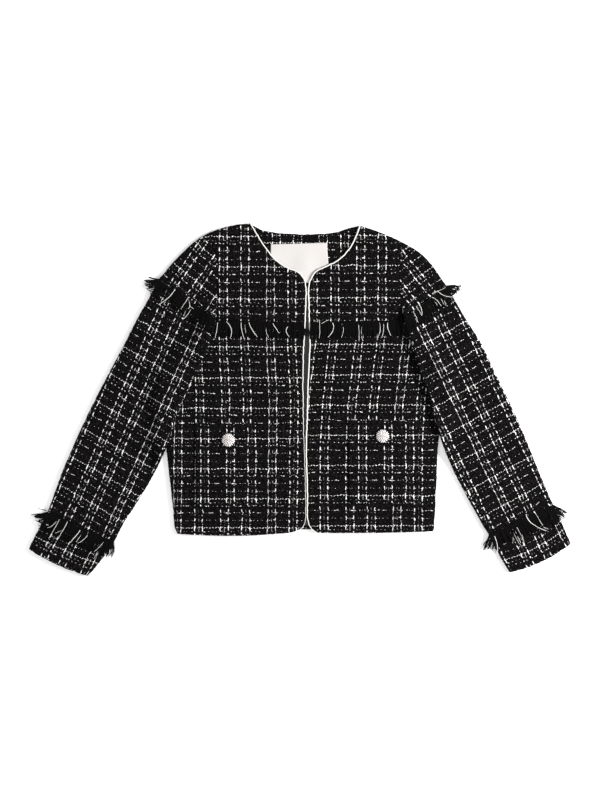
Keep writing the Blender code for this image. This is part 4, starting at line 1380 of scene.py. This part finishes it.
# The white warp yarns that hang free
WHITE_YARNS = table_of(
    Trace,
    chest_right=[
        (-143.6, 134.2, -145.2, 119.0, -148.2, 106.9, 0.5),
        (-128.3, 136.0, -119.3, 122.7, -122.7, 106.9, 0.6),
        (-102.5, 135.4, -101.5, 120.4, -96.8, 105.3, 0.6),
        (-96.1, 133.7, -95.4, 124.9, -94.8, 116.2, 0.35),
        (-89.2, 134.6, -83.6, 122.7, -74.5, 109.2, 0.65),
        (-59.1, 123.2, -57.9, 116.2, -55.5, 108.1, 0.45),
        (-46.9, 132.8, -42.3, 123.2, -35.7, 115.8, 0.55),
        (-21.2, 127.0, -24.0, 117.9, -17.8, 109.2, 0.6),
    ],
    chest_left=[
        (32.7, 144.2, 35.0, 126.7, 33.4, 106.9, 0.4),
        (38.0, 132.6, 43.9, 136.3, 50.2, 139.3, 0.5),
        (57.2, 133.7, 57.9, 123.2, 49.2, 108.8, 0.6),
        (73.7, 131.9, 75.8, 120.4, 72.6, 108.3, 0.5),
        (102.4, 131.9, 103.1, 117.9, 102.7, 102.2, 0.45),
        (108.3, 126.7, 107.3, 115.8, 109.4, 102.5, 0.5),
        (139.5, 133.7, 139.8, 119.7, 134.9, 104.8, 0.55),
        (146.3, 131.6, 145.8, 119.7, 144.0, 108.1, 0.45),
        (153.0, 134.6, 154.0, 122.7, 158.6, 111.5, 0.6),
    ],
    arm_right=[
        (-217.9, 192.0, -228.2, 180.9, -246.0, 165.7, 0.7),
        (-194.4, 174.1, -191.6, 166.9, -195.1, 158.2, 0.45),
        (-193.7, 164.1, -190.0, 160.5, -185.7, 158.2, 0.45),
        (-188.5, 189.7, -196.9, 175.7, -208.1, 158.5, 0.5),
        (-179.2, 179.3, -182.0, 173.0, -184.3, 166.9, 0.6),
        (-190.5, 157.0, -196.0, 149.0, -203.8, 140.2, 0.55),
    ],
    arm_left=[
        (240.3, 189.3, 252.9, 182.0, 268.6, 172.9, 0.6),
        (256.0, 196.7, 242.6, 189.7, 230.5, 185.5, 0.35),
        (230.5, 178.8, 239.9, 172.9, 246.9, 163.1, 0.6),
        (246.2, 175.9, 249.0, 171.0, 251.5, 165.4, 0.4),
        (250.8, 175.0, 253.2, 169.9, 255.2, 164.7, 0.45),
        (235.0, 171.3, 237.5, 167.8, 239.4, 163.8, 0.35),
        (198.3, 154.9, 200.4, 144.2, 205.6, 134.9, 0.4),
        (208.0, 165.6, 213.5, 154.7, 213.0, 146.4, 0.6),
        (203.5, 162.0, 208.5, 153.5, 211.5, 147.3, 0.4),
        (199.5, 150.0, 203.5, 142.0, 207.1, 134.5, 0.45),
    ],
    cuff_right=[
        (-420.0, -207.4, -429.4, -217.2, -440.1, -224.7, 0.5),
        (-420.0, -209.7, -429.3, -226.8, -440.1, -244.1, 0.5),
        (-405.8, -213.5, -413.9, -228.6, -424.4, -245.5, 0.55),
        (-413.2, -227.7, -419.8, -229.6, -426.6, -233.6, 0.4),
        (-384.1, -228.4, -392.5, -240.1, -401.3, -250.1, 0.75),
        (-378.9, -231.4, -384.8, -240.4, -390.8, -249.4, 0.4),
        (-369.9, -232.1, -375.7, -243.2, -388.5, -250.8, 0.55),
        (-343.0, -249.4, -350.7, -257.9, -359.4, -265.8, 0.45),
        (-348.2, -256.9, -355.1, -268.8, -361.7, -280.7, 0.45),
        (-332.5, -264.2, -332.5, -270.4, -333.2, -276.3, 0.4),
        (-342.1, -265.8, -340.7, -269.7, -340.0, -273.4, 0.35),
    ],
    cuff_left=[
        (393.6, -194.6, 403.6, -215.2, 430.7, -229.2, 0.7),
        (404.9, -188.1, 414.6, -204.2, 424.2, -220.3, 0.45),
        (424.2, -222.8, 428.9, -224.4, 433.8, -226.8, 0.4),
        (339.9, -238.0, 344.6, -253.9, 352.6, -269.3, 0.65),
        (375.9, -229.9, 381.0, -240.4, 385.5, -250.9, 0.5),
        (372.8, -238.0, 372.1, -244.7, 371.9, -250.9, 0.3),
        (384.8, -231.5, 387.8, -237.3, 390.4, -242.9, 0.4),
        (379.0, -223.5, 386.0, -237.0, 393.5, -254.0, 0.5),
        (371.5, -226.5, 378.0, -243.0, 386.5, -257.0, 0.45),
    ],
)

# Clumps of black yarns that stand out past the folds of the sleeves, or over the front piping
TUFTS = table_of(
    Trace,
    chest_right=[
        (-141.0, 134.0, -143.5, 121.0, -146.0, 108.0, 5),
        (1.9, 134.6, 5.4, 123.2, 10.7, 110.1, 5),
        (3.7, 133.7, 7.2, 120.6, 16.8, 111.8, 6),
        (2.8, 130.2, 6.3, 119.7, 20.3, 116.2, 4),
    ],
    chest_left=[
        (176.0, 134.0, 177.5, 121.0, 180.0, 107.0, 6),
        (177.5, 134.0, 182.0, 121.0, 187.0, 108.0, 6),
        (171.0, 134.0, 173.0, 121.0, 174.0, 106.0, 6),
        (20.3, 134.6, 19.1, 121.4, 15.1, 109.2, 4),
        (22.9, 134.6, 22.1, 121.4, 19.4, 108.3, 4),
    ],
    arm_right=[
        (-148.5, 142.0, -150.5, 130.0, -155.0, 117.0, 6),
        (-154.0, 146.0, -158.5, 132.0, -164.0, 119.0, 6),
        (-244.8, 209.8, -258.8, 210.0, -266.7, 213.8, 4),
        (-244.8, 208.9, -262.3, 206.5, -272.3, 208.9, 5),
        (-246.6, 207.2, -262.3, 201.9, -271.1, 203.2, 6),
        (-247.4, 205.4, -261.4, 198.4, -270.4, 197.4, 7),
        (-248.3, 203.7, -260.6, 194.1, -268.6, 189.2, 8),
        (-250.1, 200.2, -258.8, 189.7, -263.0, 180.9, 8),
        (-244.8, 203.7, -251.8, 187.9, -256.2, 175.7, 8),
        (-239.6, 201.9, -244.8, 187.9, -249.2, 173.9, 8),
    ],
    arm_left=[
        (184.5, 141.0, 184.5, 129.0, 187.0, 115.0, 6),
        (189.0, 144.5, 190.5, 131.0, 193.0, 117.0, 6),
        (256.6, 198.4, 267.9, 200.2, 279.8, 191.8, 6),
        (257.4, 196.7, 267.9, 196.0, 280.9, 190.4, 6),
        (257.4, 194.1, 267.9, 191.4, 278.4, 186.2, 7),
        (257.4, 191.4, 266.2, 186.2, 276.3, 180.9, 7),
        (256.6, 188.8, 263.6, 181.8, 272.3, 176.4, 7),
        (254.8, 187.1, 260.9, 179.2, 267.1, 173.1, 7),
    ],
    cuff_right=[
        (-439.9, -193.6, -451.3, -194.4, -459.5, -190.1, 3),
        (-440.8, -197.1, -453.1, -200.6, -465.3, -203.4, 6),
        (-441.7, -200.6, -453.1, -204.9, -463.2, -208.6, 6),
        (-442.6, -204.1, -452.2, -209.3, -460.1, -212.8, 6),
        (-442.6, -207.6, -450.4, -216.3, -456.6, -223.3, 7),
        (-440.8, -209.3, -446.9, -221.6, -452.2, -232.1, 7),
        (-325.7, -248.7, -325.3, -261.8, -327.9, -274.1, 6),
        (-328.8, -248.7, -328.8, -263.6, -331.4, -276.7, 6),
        (-332.3, -247.8, -333.2, -261.8, -336.7, -274.1, 6),
        (-337.6, -246.9, -340.2, -260.9, -343.7, -272.3, 6),
    ],
    cuff_left=[
        (442.9, -184.8, 453.4, -190.9, 465.7, -197.8, 6),
        (442.9, -187.4, 453.4, -195.3, 464.4, -205.4, 6),
        (442.1, -190.1, 451.7, -200.6, 461.3, -210.2, 7),
        (441.2, -193.6, 449.9, -205.8, 457.8, -216.3, 7),
        (438.6, -196.2, 444.7, -209.3, 451.7, -220.7, 7),
        (336.2, -235.6, 327.4, -245.2, 319.7, -256.6, 5),
        (337.9, -237.3, 330.9, -248.7, 324.3, -259.2, 6),
        (339.7, -238.2, 334.1, -250.4, 329.2, -261.8, 6),
        (341.4, -239.1, 337.9, -252.2, 335.1, -265.3, 6),
        (344.9, -238.2, 343.2, -253.1, 344.1, -267.1, 5),
    ],
)

for number, side in enumerate(SIDES):
    line = across(FRONTS[side][-1], LINE_COLUMNS) - np.array((0.0, SEAM_GAP))
    ways = np.array([(0.0, -1.0)] * len(line))
    other = SIDES[1 - number]
    under = [front_cloth[side], front_cloth[other], piping_piece[side], piping_piece[other]]
    under.append(sleeve_cloth["sleeve", side])
    lie = heights_over(under, body_top)
    fray("chest_" + side, line, ways, lie, CHEST_REACH, 3 + number, (1.0, 0.5))

# How far the yarns fan out past the outer and the inner fold of a sleeve
Fan = namedtuple("Fan", "outward inward")
OUTER_FAN_SHARE = 0.28
INNER_FAN_SHARE = 0.2
ARM_FANS = {"right": Fan(1.6, 0.0), "left": Fan(1.5, 0.0)}
CUFF_FANS = {"right": Fan(1.8, 0.3), "left": Fan(0.9, 1.1)}


def fray_sleeve(name, section, next_section, under, fan, reach, seed):
    """The loose yarns of a raw edge across a sleeve, which fan out past the folds."""
    line = across(section, LINE_COLUMNS)
    onward = across(next_section, LINE_COLUMNS) - line
    onward = onward / np.linalg.norm(onward, axis=1)[:, None]
    line = line + onward * SEAM_GAP
    outward = (line[-1] - line[0]) / np.linalg.norm(line[-1] - line[0])
    ways = []
    for share, way in zip(LINE_COLUMNS, onward):
        out_share = ease(1.0 - (1.0 - share) / OUTER_FAN_SHARE)
        in_share = ease(1.0 - share / INNER_FAN_SHARE)
        ways.append(way + outward * (fan.outward * out_share * out_share - fan.inward * in_share))
    inner_margin = 3.0 if fan.inward else 1.5
    fray(name, line, np.array(ways), heights_over(under, tuft_height), reach, seed, (inner_margin, 2.0))


for number, side in enumerate(SIDES):
    cap, sleeve, cuff = (sleeve_cloth[part, side] for part in ("sleeve_cap", "sleeve", "cuff"))
    arm = (CAPS[side][-1], SLEEVES[side][1], (cap, sleeve, yoke_cloth[side]), ARM_FANS[side], ARM_REACH)
    wrist = (SLEEVES[side][-1], CUFFS[side][1], (sleeve, cuff), CUFF_FANS[side], CUFF_REACH)
    fray_sleeve("arm_" + side, *arm, 11 + number)
    fray_sleeve("cuff_" + side, *wrist, 21 + number)

# ------------------------------------------------------------
# Buttons. A domed rosette of pearl beads is sewn to each pocket: rings of beads that lie like
# petals on a metal base.
# ------------------------------------------------------------
BUTTONS = {"right": Place(-125.0, -71.0), "left": Place(144.5, -64.0)}
BUTTON_RADIUS = 11.8
# Rings of beads: count, distance out, height, length, width and first angle
BEAD_RINGS = [
    (20, 9.6, 2.2, 2.3, 1.02, 0.1),
    (16, 7.3, 3.7, 1.7, 0.95, 0.3),
    (12, 5.0, 4.8, 1.5, 0.92, 0.0),
    (7, 2.8, 5.6, 1.25, 0.9, 0.4),
    (1, 0.0, 6.0, 1.2, 1.2, 0.0),
]

# The metal base's profile: distance out and height
BASE_PROFILE = [(0.0, 4.6), (4.0, 4.0), (8.0, 2.4), (10.4, 1.0), (10.6, 0.4), (9.8, 0.1), (0.0, 0.1)]
BASE_POINTS = 32

# Glass pearls: white glass with a nacre coat, so bright and glossy with a touch of pink
finish = {"Roughness": 0.22, "Coat Weight": 0.3}
pearl = simple_material("coated_glass_pearl", ("E9E3E1", "F8F4F1"), 160.0, 1.0, finish)

# Stamped base, silver plated and darkened
finish = {"Metallic": 1.0, "Roughness": 0.35}
plated = simple_material("oxidised_silver_plate", ("2A2625", "4A4543"), 500.0, 2.0, finish)

# Each place becomes one bead, which is turned and scaled as the place says
bead_tree, given = start_tree("bead_rosette", {"Bead detail": "Int", "Pearl": "Material"})
bead = {"Radius": 1.0, "Subdivisions": given["Bead detail"]}
beads = {
    "Points": add(bead_tree, "GeometryNodeMeshToPoints", None, {"Mesh": given["Geometry"]}),
    "Instance": add(bead_tree, "GeometryNodeMeshIcoSphere", None, bead),
}
vector = {"data_type": "FLOAT_VECTOR"}
for socket, name in (("Rotation", "turn"), ("Scale", "size")):
    beads[socket] = add(bead_tree, "GeometryNodeInputNamedAttribute", vector, {"Name": name})
beads = add(bead_tree, "GeometryNodeInstanceOnPoints", None, beads)
beads = add(bead_tree, "GeometryNodeRealizeInstances", None, {"Geometry": beads})
beads = add(bead_tree, "GeometryNodeSetMaterial", None, {"Geometry": beads, "Material": given["Pearl"]})
add(bead_tree, "NodeGroupOutput", None, {0: beads}, None)

for side in SIDES:
    place = BUTTONS[side]
    base = body_top(*place) + FACE_GAP + POCKET_CLOTH
    draw = random.Random(31 + SIDES.index(side))
    spots, turns, dims = [], [], []
    for count, out, high, long_half, wide_half, first in BEAD_RINGS:
        for index in range(count):
            angle = first + 2.0 * math.pi * index / count + draw.uniform(-0.04, 0.04)
            x, y = place.x + out * math.cos(angle), place.y + out * math.sin(angle)
            spots.append((x * MM, y * MM, (base + high) * MM))
            turns.append((0.0, 0.5 * out / BUTTON_RADIUS, angle))
            dims.append((long_half * MM, wide_half * MM, wide_half * MM))
    data = bpy.data.meshes.new("bead_rosette_" + side)
    data.from_pydata(spots, [], [])
    for word, values in (("turn", turns), ("size", dims)):
        said_there = data.attributes.new(word, "FLOAT_VECTOR", "POINT").data
        said_there.foreach_set("vector", np.array(values).ravel())
    values = {"Bead detail": 3, "Pearl": pearl}
    piece = grow("bead_rosette_" + side, data, bead_tree, values)
    piece.data.shade_smooth()
    belongs(piece, "pearl_beads", "button_" + side)

    dish = bmesh.new()
    loops = []
    for radius, high in BASE_PROFILE:
        count = BASE_POINTS if radius else 1
        angles = [2.0 * math.pi * k / count for k in range(count)]
        plan = [(place.x + radius * math.cos(a), place.y + radius * math.sin(a)) for a in angles]
        loops.append([dish.verts.new(Vector((*spot, base + high)) * MM) for spot in plan])
    for upper, lower in zip(loops, loops[1:]):
        for k in range(BASE_POINTS):
            corners = [upper[k % len(upper)], lower[k % len(lower)]]
            corners += [lower[(k + 1) % len(lower)], upper[(k + 1) % len(upper)]]
            dish.faces.new(list(dict.fromkeys(corners)))
    bmesh.ops.recalc_face_normals(dish, faces=dish.faces[:])
    data = bpy.data.meshes.new("button_base_" + side)
    dish.to_mesh(data)
    dish.free()
    data.materials.append(plated)
    data.shade_smooth()
    belongs(placed("button_base_" + side, data), "pearl_beads")

bpy.context.view_layer.update()
